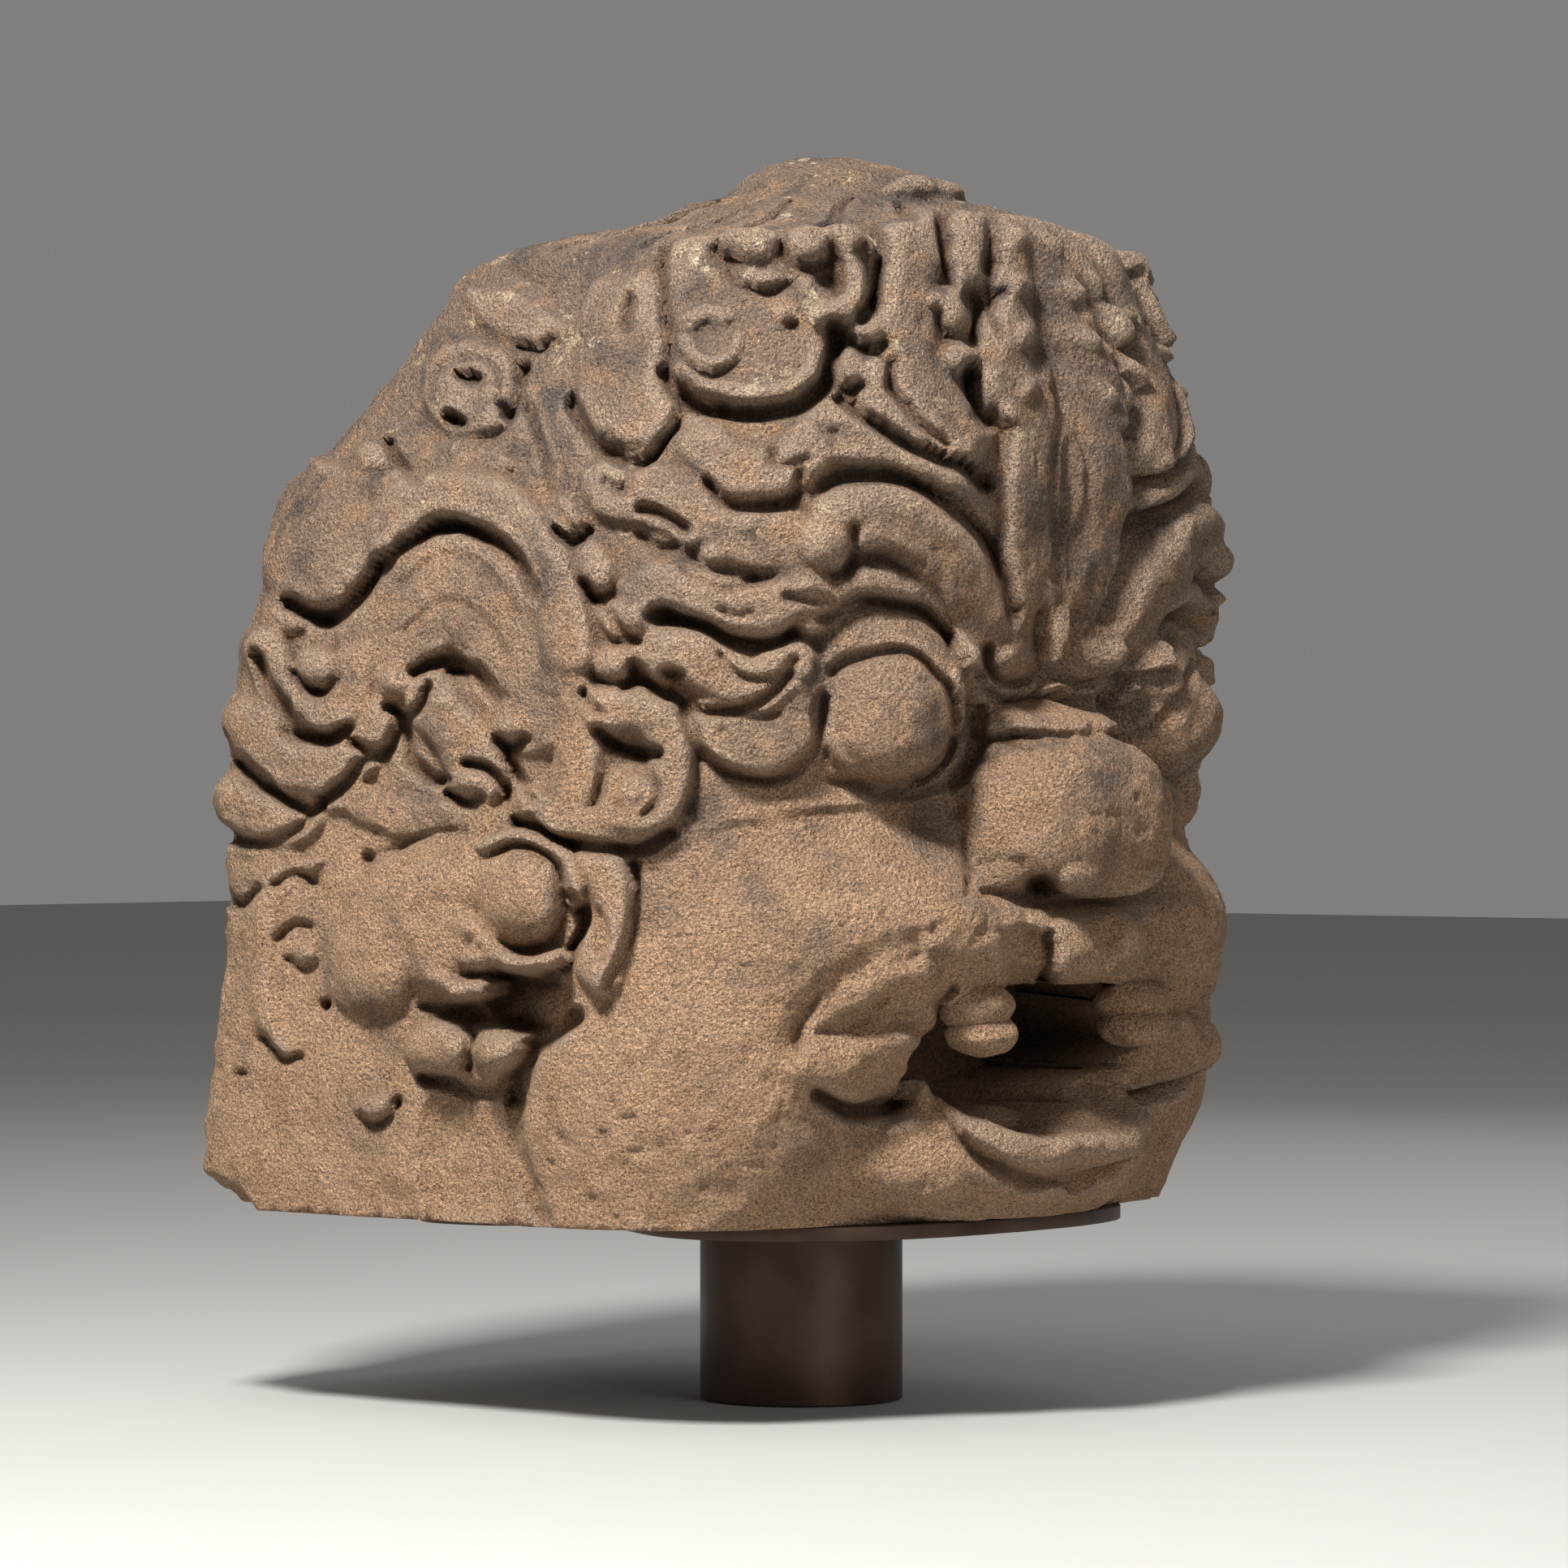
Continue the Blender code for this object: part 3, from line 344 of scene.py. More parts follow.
    def hook_scroll(self) -> tuple[Mark, ...]:
        """The big hook that ends the mane behind the cheek."""
        return (
            Stroke(((-140, 478), (-118, 480), (-98, 466), (-92, 444), (-94, 422), (-108, 408), (-126, 408)),
                   18, 22),
            Knob((-119, 421), (20, 19), 23, 0, 2.3, Profile.FLAT),
            Knob((-119, 421), (10, 10), 28),
            Stroke(spiral((-118, 421), 17, -60, 0.8, 0.8), 3, -9),
            Stroke(((-142, 466), (-131, 455), (-117, 450), (-103, 449)), 5, -19),
            Stroke(((-78, 484), (-74, 460), (-74, 436), (-80, 412)), 3.5, -10),
            Stroke(((-198, 402), (-165, 387), (-138, 382), (-112, 384), (-90, 394)), 5, -18),
            Stroke(((-190, 414), (-168, 402), (-146, 398), (-120, 398)), 14, 17),
            Knob((-132, 512), (17, 13), 20),
            Stroke(((-118, 510), (-116, 500), (-124, 496)), 4, -15),
            Stroke(((-152, 490), (-146, 482), (-140, 478)), 3.5, -12),
            Stroke(((-170, 520), (-158, 485), (-156, 450), (-160, 420)), 16, 16),
        )

    def side_mane(self) -> tuple[Mark, ...]:
        """Nested arches and scrolls of the mane over the ear."""
        return (
            Stroke(((-290, 604), (-270, 624), (-240, 629), (-208, 617), (-186, 590),
                    (-172, 555), (-164, 520)), 21, 23),
            Stroke(((-292, 580), (-278, 596), (-262, 604), (-240, 608), (-218, 602),
                    (-200, 587), (-187, 560)), 4.5, -20),
            Knob((-290, 594), (15, 15), 27),
            Stroke(((-286, 540), (-262, 560), (-240, 564), (-215, 549), (-195, 518), (-182, 485)),
                   40, 13),
            Stroke(((-280, 566), (-258, 583), (-238, 586), (-216, 573), (-198, 545)), 3.5, -5),
            Stroke(((-276, 536), (-256, 551), (-240, 552), (-222, 539), (-206, 515)), 3.5, -5),
            Stroke(((-268, 504), (-258, 511), (-240, 513), (-228, 507), (-213, 488)), 4.5, -16),
            Knob((-241, 505), (10, 5), -22),
            Knob((-285, 499), (15, 16), 21),
            Stroke(((-292, 481), (-278, 473), (-266, 480), (-261, 494)), 4, -16),
            Knob((-300, 474), (15, 21), 20),
            Stroke(((-313, 457), (-299, 447), (-288, 455), (-282, 468)), 4.5, -18),
            Stroke(((-262, 486), (-246, 470), (-232, 450), (-224, 430)), 20, 16),
            Knob((-250, 484), (14, 12), 20),
            Knob((-246, 461), (13, 11), 19),
            Stroke(((-277, 468), (-271, 445), (-258, 431), (-246, 430)), 4, -15),
            Knob((-234, 430), (15, 13), 21),
            Stroke(((-246, 420), (-234, 414), (-222, 418)), 3.5, -13),
            Stroke(((-234, 443), (-221, 440), (-211, 430), (-203, 418)), 4, -15),
            Knob((-205, 468), (14, 13), 20),
            Stroke(((-212, 458), (-201, 452), (-192, 458)), 4, -15),
            Stroke(((-206, 446), (-196, 430), (-188, 418)), 4, -15),
            Stroke(((-203, 420), (-196, 402), (-186, 393)), 4, -12),
            Stroke(((-318, 420), (-286, 406), (-255, 402), (-215, 400)), 15, 8),
        )

    def rear_locks(self) -> tuple[Mark, ...]:
        """Lobes, U-shaped scrolls and the rosette at the back of the mane."""
        return (
            Knob((-334, 596), (40, 52), 19, -12, 2.4, Profile.FLAT),
            Stroke(((-356, 553), (-344, 546), (-322, 546), (-304, 562), (-290, 582)), 5.5, -20),
            Knob((-328, 541), (13, 5), -26, 8),
            Knob((-360, 545), (18, 16), 12),
            Stroke(((-374, 522), (-362, 488), (-341, 474), (-322, 482), (-310, 512)), 16, 19),
            Knob((-338, 508), (17, 16), 22),
            Stroke(((-356, 506), (-348, 496), (-334, 493), (-323, 500)), 3, -9),
            Stroke(((-379, 517), (-371, 492), (-360, 476), (-348, 463), (-330, 459), (-316, 467)),
                   5, -20),
            Stroke(((-386, 470), (-372, 448), (-344, 436), (-318, 446), (-300, 466)), 19, 16),
            Stroke(((-390, 443), (-374, 429), (-360, 419), (-342, 409), (-326, 421), (-300, 450)),
                   4.5, -18),
            Stroke(((-402, 418), (-382, 406), (-362, 402), (-348, 406)), 17, 11),
            Stroke(((-404, 394), (-386, 388), (-364, 391), (-344, 404)), 4, -12),
            Stroke(((-400, 350), (-388, 342), (-377, 354)), 3.5, -11),
            Knob((-232, 704), (34, 36), 16, 0, 2.2, Profile.FLAT),
            Stroke(arc((-232, 702), (24, 24), 200, -20, 12), 3, -6),
            Knob((-232, 712), (12, 5), -20, -10),
            Knob((-242, 682), (11, 6), -20, -12),
            Knob((-206, 688), (6, 7), -16),
            Knob((-217, 700), (9, 8), 22),
            Stroke(((-193, 718), (-197, 702), (-203, 684)), 4.5, -15),
            Stroke(((-196, 700), (-188, 680), (-178, 655), (-172, 625), (-158, 600)), 3.5, -10),
            Stroke(((-196, 732), (-182, 732), (-172, 740)), 4, -10),
            Stroke(((-286, 666), (-280, 652), (-268, 640)), 4, -13),
            Knob((-300, 655), (16, 12), 14),
            Stroke(((-262, 655), (-235, 656), (-205, 650)), 12, 8, Taper.BOTH),
            Stroke(((-340, 652), (-318, 640), (-296, 636), (-276, 646)), 10, 13, Taper.BOTH),
            Stroke(((-228, 768), (-198, 752), (-168, 742)), 18, 9, Taper.BOTH),
            Stroke(((-208, 795), (-190, 780), (-172, 776)), 4, -6, Taper.BOTH),
        )

    def medallion(self) -> tuple[Mark, ...]:
        """The shield of small rings and beads over the brow, and the lobe that hangs behind it."""
        return (
            Knob((-120, 722), (38, 66), 17, 0, 2.6, Profile.FLAT),
            Stroke(((-160, 694), (-150, 674), (-138, 661), (-119, 650), (-102, 658),
                    (-90, 674), (-82, 690)), 4.5, -16),
            Stroke(((-140, 672), (-128, 662), (-112, 664)), 3, -6),
            Stroke(((-96, 806), (-96, 765), (-93, 738), (-97, 715)), 4, -14),
            Stroke(((-119, 763), (-120, 744)), 4.5, -13),
            Knob((-38, 760), (59, 66), 17, 0, 3.0, Profile.SHELF),
            Stroke(((-98, 716), (-90, 702), (-72, 691), (-36, 686), (-4, 692), (14, 706),
                    (23, 726), (23, 748)), 6, -22),
            Knob((-36, 806), (24, 16), 33, 0, 2.4),
            Stroke(((-60, 800), (-58, 793), (-44, 791)), 4, -14),
            Knob((4, 804), (17, 20), 31),
            Stroke(((-15, 800), (-8, 792), (4, 787), (16, 790)), 4, -16),
            Knob((-28, 781), (21, 9), 27, -5),
            Stroke(((-52, 788), (-46, 776), (-24, 770), (-8, 776)), 3.5, -11),
            Knob((-12, 757), (13, 11), 25),
            Knob((-6, 747), (6, 4), -12),
            Stroke(((-78, 752), (-66, 758), (-52, 754)), 7, 26),
            Stroke(((-82, 738), (-76, 726), (-62, 720), (-48, 727), (-44, 740)), 6, 25),
            Stroke(((-86, 730), (-74, 716), (-60, 712), (-46, 720)), 3, -6, Taper.BOTH),
            Stroke(((-88, 722), (-64, 706), (-30, 701), (0, 709), (14, 732)),
                   10, 21, Taper.BOTH, Profile.WORN),
            Stroke(((20, 822), (34, 806), (41, 788), (40, 770), (28, 758), (14, 758)), 11, 27),
            Knob((14, 778), (8, 7), -12),
            Stroke(((40, 800), (50, 782), (50, 764), (42, 752)), 5.5, -24),
            Knob((8, 826), (12, 8), 16),
        )

    def crown(self) -> tuple[Mark, ...]:
        """Flame locks and roped columns of hair over the forehead."""
        return (
            Stroke(((76, 834), (77, 795), (72, 755), (76, 722), (92, 694), (112, 672)), 22, 16),
            Knob((46, 745), (16, 13), 22),
            Stroke(((32, 738), (44, 731), (58, 736)), 3.5, -11),
            Knob((32, 718), (14, 13), 21),
            Stroke(((22, 710), (30, 704), (42, 707)), 3.5, -11),
            Stroke(((50, 715), (50, 700), (62, 684), (80, 672)), 12, 17),
            Stroke(((62, 724), (61, 706), (70, 688), (86, 674), (100, 664)), 3.5, -12),
            Stroke(((98, 828), (100, 806), (102, 790), (106, 778)), 4.5, -19),
            Knob((94, 766), (9, 8), 22),
            Knob((108, 758), (13, 20), 22),
            Stroke(((117, 766), (121, 752), (120, 738)), 5, -20),
            Knob((112, 725), (15, 14), 22),
            Stroke(((116, 717), (117, 702), (122, 686), (128, 678)), 5, -20),
            Stroke(((118, 830), (116, 806), (118, 786)), 15, 16),
            Knob((131, 793), (5, 14), -20, -12),
            Stroke(((146, 832), (148, 796), (146, 760), (148, 720), (150, 690)), 16, 19),
            Knob((132, 742), (12, 24), 17),
            Stroke(((138, 772), (130, 758), (136, 742)), 3.5, -10),
            Knob((134, 708), (13, 22), 18),
            Stroke(((162, 822), (168, 800), (174, 772), (177, 738), (180, 706), (184, 682)), 4.5, -17),
            Knob((151, 808), (12, 12), 26),
            Knob((152, 776), (12, 13), 26),
            Knob((155, 741), (11, 15), 26),
            Knob((157, 703), (11, 15), 25),
            Stroke(((26, 697), (45, 683), (70, 666), (95, 655), (114, 645), (128, 634)), 4.5, -18),
            Stroke(((48, 694), (72, 676), (98, 664), (118, 655)), 5, 17),
            Knob((125, 640), (7, 8), -14),
            Stroke(((55, 668), (30, 684), (4, 676), (-8, 664)), 10, 12, Taper.BOTH),
        )

    def ear(self) -> tuple[Mark, ...]:
        """The ear's roll, ball and lips, the deep hollow under them and the broken stone below."""
        return (
            Stroke(((-300, 296), (-296, 324), (-280, 346), (-254, 358), (-222, 360)),
                   33, 22, Taper.EVEN, Profile.WORN),
            Stroke(((-312, 350), (-292, 376), (-262, 391), (-232, 395)), 3, -5, Taper.BOTH),
            Knob((-256, 322), (40, 40), 20, 0, 2.0, Profile.FLAT),
            Knob((-198, 350), (32, 37), 38, -6, 2.2),
            Stroke(((-222, 384), (-200, 392), (-178, 385), (-162, 367), (-157, 348)), 7, 26),
            Stroke(((-212, 378), (-196, 385), (-178, 378), (-167, 362)), 2.5, -6),
            Knob((-232, 326), (12, 12), 27),
            Stroke(((-222, 318), (-208, 305), (-190, 300), (-170, 306)), 8, 31),
            Knob((-226, 306), (15, 12), 30, -20),
            Stroke(((-256, 292), (-240, 284), (-222, 284)), 8, 24),
            Knob((-190, 276), (30, 24), -42, 0, 2.4, Profile.FLAT),
            Knob((-226, 267), (30, 9), -26, -4),
            Stroke(((-262, 274), (-246, 270), (-230, 275)), 4, -12),
            Stroke(((-144, 374), (-133, 352), (-135, 322), (-143, 296)), 17, 22),
            Knob((-141, 322), (6, 22), -12, 8),
            Stroke(((-160, 350), (-152, 338), (-156, 318), (-166, 298)), 4.5, -17),
            Stroke(((-118, 372), (-116, 345), (-124, 312), (-137, 286)), 4, -13),
            Knob((-176, 274), (16, 14), 20),
            Stroke(((-188, 262), (-174, 256), (-160, 266)), 4, -13),
            Knob((-251, 244), (25, 20), 23),
            Knob((-213, 240), (17, 15), 21),
            Stroke(((-236, 262), (-229, 248), (-231, 232)), 3.5, -10),
            Stroke(((-262, 224), (-240, 216), (-216, 214), (-202, 224)), 6, -15),
            Knob((-232, 170), (36, 46), -11, 0, 3.0, Profile.FLAT),
            Knob((-297, 203), (16, 12), 12, 15, 2.0, Profile.WORN),
            Stroke(((-308, 197), (-298, 190), (-286, 196)), 3, -8),
            Knob((-282, 204), (5, 6), -12),
            Stroke(((-336, 374), (-358, 368), (-374, 342), (-379, 300), (-374, 262), (-358, 240)),
                   11, 6, Taper.BOTH),
            Stroke(((-366, 356), (-352, 366), (-338, 360)), 3, -9),
            Stroke(((-364, 320), (-353, 329), (-340, 327)), 3, -8),
            Knob((-346, 308), (10, 10), 9),
            Stroke(((-358, 304), (-350, 298), (-340, 302)), 3, -8),
            Knob((-331, 273), (6, 5), -14),
            Stroke(((-376, 250), (-362, 234), (-348, 238)), 3, -9),
            Knob((-302, 374), (7, 6), -10),
            Knob((-388, 227), (6, 3), -9),
        )

    def muzzle(self) -> tuple[Mark, ...]:
        """Cheek crease, folds round the mouth, the corner tusk, lips and nostril."""
        return (
            Stroke(((-158, 266), (-178, 252), (-192, 234), (-199, 208)), 8, -24),
            Stroke(((-199, 214), (-200, 190), (-196, 160), (-186, 136), (-178, 122)),
                   9, -14, Taper.TAIL, Profile.WORN),
            Stroke(((-12, 234), (-4, 262), (22, 288), (58, 310), (100, 330)),
                   13, -4, Taper.BOTH, Profile.WORN),
            Stroke(((-6, 240), (0, 262), (14, 282)), 6, -11, Taper.BOTH, Profile.WORN),
            Stroke(((34, 274), (62, 284), (92, 296)), 22, 5, Taper.BOTH, Profile.WORN),
            Stroke(((24, 262), (44, 268), (62, 278)), 4, -6, Taper.BOTH),
            Stroke(((60, 300), (74, 306), (84, 314)), 5, -5, Taper.BOTH, Profile.WORN),
            Knob((148, 322), (66, 23), 8, -4, 3.0, Profile.FLAT),
            Stroke(((100, 262), (96, 274), (104, 284)), 4, -10),
            Stroke(((8, 230), (36, 229), (60, 240), (76, 250)), 23, 15, Taper.TAIL, Profile.WORN),
            Stroke(((14, 256), (34, 259), (54, 265)), 3.5, -6, Taper.BOTH),
            Stroke(((10, 212), (28, 200), (48, 199), (68, 209), (80, 226)), 6, -26),
            Knob((90, 214), (16, 17), 13, 30, 2.0, Profile.WORN),
            Stroke(((60, 186), (92, 196), (120, 184), (148, 174), (182, 172)),
                   14, 8, Taper.BOTH, Profile.WORN),
            Stroke(((104, 190), (120, 172), (142, 158), (166, 150), (190, 156)),
                   8, -13, Taper.BOTH, Profile.WORN),
            Stroke(((196, 186), (206, 170), (212, 150)), 10, -6, Taper.BOTH, Profile.WORN),
            Knob((190, 314), (18, 27), 15, 0, 2.6, Profile.FLAT),
            Knob((155, 306), (15, 24), -15, 0, 2.4, Profile.FLAT),
            Stroke(((171, 318), (170, 304), (172, 286)), 6, -17),
            Stroke(((98, 210), (113, 191), (138, 176), (166, 171), (192, 178), (212, 198)),
                   13, 15, Taper.BOTH),
            Knob((165, 357), (13, 9), -20, 10, 2.0, Profile.WORN),
            Knob((196, 358), (20, 16), 9, 0, 2.0, Profile.WORN),
            Stroke(((126, 354), (146, 349), (166, 345), (190, 343), (212, 348)), 4, -10, Taper.BOTH),
            Stroke(((112, 392), (112, 378), (117, 364), (114, 346)), 2.5, -9, Taper.BOTH),
            Stroke(((-150, 378), (-110, 384), (-60, 400), (0, 412), (60, 414)),
                   7, 4, Taper.BOTH, Profile.WORN),
        )

    def side(self) -> tuple[Mark, ...]:
        """Every mark that is drawn on the sheet."""
        return (
            self.brow_and_eye() + self.leaves() + self.hook_scroll() + self.side_mane()
            + self.rear_locks() + self.medallion() + self.crown() + self.ear() + self.muzzle()
        )

    def back(
        self, rows: int = 7, lowest: float = 190.0, pitch: float = 88.0, size: float = 44.0
    ) -> tuple[Mark, ...]:
        """Staggered rows of curled locks: a U-shaped band round a bead, the rows a pitch apart.

        Args:
            rows: Number of rows.
            lowest: Height of the first row.
            pitch: Distance between rows.
            size: Half-width of a lock.

        Returns:
            The marks, by distance from the middle of the back and height.
        """
        marks: list[Mark] = []
        curve = ((-1.0, 0.9), (-0.8, -0.1), (0.0, -0.7), (0.8, 0.0))
        for row in range(rows):
            for column in range(2 if row % 2 else 3):
                a, z = (2.0 * column + row % 2) * size, lowest + row * pitch
                band = tuple((a + size * u, z + size * v) for u, v in curve)
                bead = (a + 0.05 * size, z + 0.15 * size)
                marks.append(Stroke(band, 0.36 * size, 10.0, Taper.TAIL, Profile.WORN))
                marks.append(Knob(bead, (0.4 * size, 0.36 * size), 9.0, profile=Profile.WORN))
        return tuple(marks)

    def top(self, middle: float = -40.0, inner: float = 105.0, outer: float = 215.0) -> tuple[Mark, ...]:
        """Grooves that part the hair as it runs out from the broken block: short strokes along fanned rays.

        Args:
            middle: The block's place along the head.
            inner: Where the grooves start, from that place.
            outer: Where they end.

        Returns:
            The marks, by distance from the midline and place along the head.
        """
        marks = []
        for t in np.radians(np.linspace(-80.0, 80.0, 9)):
            ends = ((inner, 0.0), (outer, 0.12))
            line = tuple((r * math.cos(t + bend), middle + r * math.sin(t + bend)) for r, bend in ends)
            marks.append(Stroke(line, 6.0, -9.0, Taper.BOTH))
        return tuple(marks)


def carve(marks: tuple[Mark, ...], a: Array, z: Array) -> Array:
    """Relief of a set of marks: the highest of the raised ones plus the deepest of the cuts.

    Args:
        marks: The marks.
        a: Places across their sheet.
        z: Places up it.

    Returns:
        Height of the carving at each place.
    """
    raised, cut = np.zeros(len(a)), np.zeros(len(a))
    for mark in marks:
        low, high = mark.reach()
        near = np.flatnonzero((a > low[0]) & (a < high[0]) & (z > low[1]) & (z < high[1]))
        if not len(near):
            continue
        value = mark.relief(a[near], z[near])
        if mark.height > 0.0:
            raised[near] = np.maximum(raised[near], value)
        else:
            cut[near] = np.minimum(cut[near], value)
    return raised + cut


class ReliefMap:
    """A set of marks worked out once over a grid of their sheet, and read back between its points."""

    def __init__(
        self, marks: tuple[Mark, ...], low: Point, high: Point, pitch: float, blur_passes: int
    ) -> None:
        """Works the marks out at every point of the grid, and rounds their edges.

        Args:
            marks: The marks.
            low: Lowest corner of the grid.
            high: Highest corner.
            pitch: Distance between its points.
            blur_passes: How often each point becomes half itself and half its neighbours.
        """
        self.low, self.pitch = low, pitch
        across, up = (np.arange(start, end + pitch, pitch) for start, end in zip(low, high))
        a, z = np.meshgrid(across, up, indexing="ij")
        self.heights = carve(marks, a.ravel(), z.ravel()).reshape(a.shape)
        for _ in range(blur_passes):
            for axis in (0, 1):
                one_way, other_way = np.roll(self.heights, 1, axis), np.roll(self.heights, -1, axis)
                self.heights = 0.5 * self.heights + 0.25 * (one_way + other_way)

    def read(self, a: Array, z: Array) -> Array:
        """Height at places on the sheet: the four nearest points of the grid, each by its nearness.

        Args:
            a: Places across the sheet.
            z: Places up it.

        Returns:
            The heights.
        """
        columns, rows = self.heights.shape
        u = np.clip((a - self.low[0]) / self.pitch, 0.0, columns - 1.001)
        v = np.clip((z - self.low[1]) / self.pitch, 0.0, rows - 1.001)
        i, j = u.astype(int), v.astype(int)
        s, t = u - i, v - j
        h = self.heights
        lower = h[i, j] * (1 - s) + h[i + 1, j] * s
        upper = h[i, j + 1] * (1 - s) + h[i + 1, j + 1] * s
        return lower * (1 - t) + upper * t


@dataclass(frozen=True)
class Sheet:
    """The upright sheet that the carving is drawn on, square to the near front corner of the face."""

    azimuth: float = math.radians(-50.0)
    distance: float = 4540.0
    eye_height: float = 427.4

    def nearness(self, vectors: Array) -> Array:
        """How far each vector runs towards the eye: x sin(azimuth) - y cos(azimuth)."""
        return vectors[:, 0] * math.sin(self.azimuth) - vectors[:, 1] * math.cos(self.azimuth)

    def project(self, points: Array) -> tuple[Array, Array]:
        """Where points show on the sheet: offsets from its middle times eye distance over distance left.

        Args:
            points: Points on the lion's right side, in drawn millimetres.

        Returns:
            Places across the sheet and up it.
        """
        across = points[:, 0] * math.cos(self.azimuth) + points[:, 1] * math.sin(self.azimuth)
        spread = self.distance / (self.distance - self.nearness(points))
        return across * spread, self.eye_height + (points[:, 2] - self.eye_height) * spread


@dataclass(frozen=True)
class Mass:
    """A plain or squared ellipsoid of stone, on both sides of the face unless centred on the midline."""

    centre: Place
    radii: Place
    blend: float
    power: float = 2.0

    def distance(self, side: Array, y: Array, z: Array) -> Array:
        """Distance outside the mass: k0 (k0 - 1) / k1, norms of the offset over radii and squared radii.

        Args:
            side: Distance from the midline.
            y: Place along the head.
            z: Height.

        Returns:
            Millimetres outside the mass, negative within it.
        """
        p = [(v - c) / r for v, c, r in zip((side, y, z), self.centre, self.radii)]
        if self.power != 2.0:
            size = np.maximum(sum(np.abs(v) ** self.power for v in p), 1e-9) ** (1.0 / self.power)
            return np.sqrt(sum((v * r) ** 2 for v, r in zip(p, self.radii))) * (1.0 - 1.0 / size)
        k0 = np.sqrt(sum(v * v for v in p))
        k1 = np.sqrt(sum((v / r) ** 2 for v, r in zip(p, self.radii)))
        return k0 * (k0 - 1.0) / np.maximum(k1, 1e-9)


def least(a: Array, b: Array, blend: float) -> Array:
    """The smaller of two distances, with a fillet of the given size: b + (a - b) h - blend h (1 - h)."""
    h = np.clip(0.5 + 0.5 * (b - a) / blend, 0.0, 1.0)
    return b + (a - b) * h - blend * h * (1.0 - h)


def most(a: Array, b: Array, blend: float) -> Array:
    """The larger of two distances, with a rounded edge of the given size."""
    return -least(-a, -b, blend)


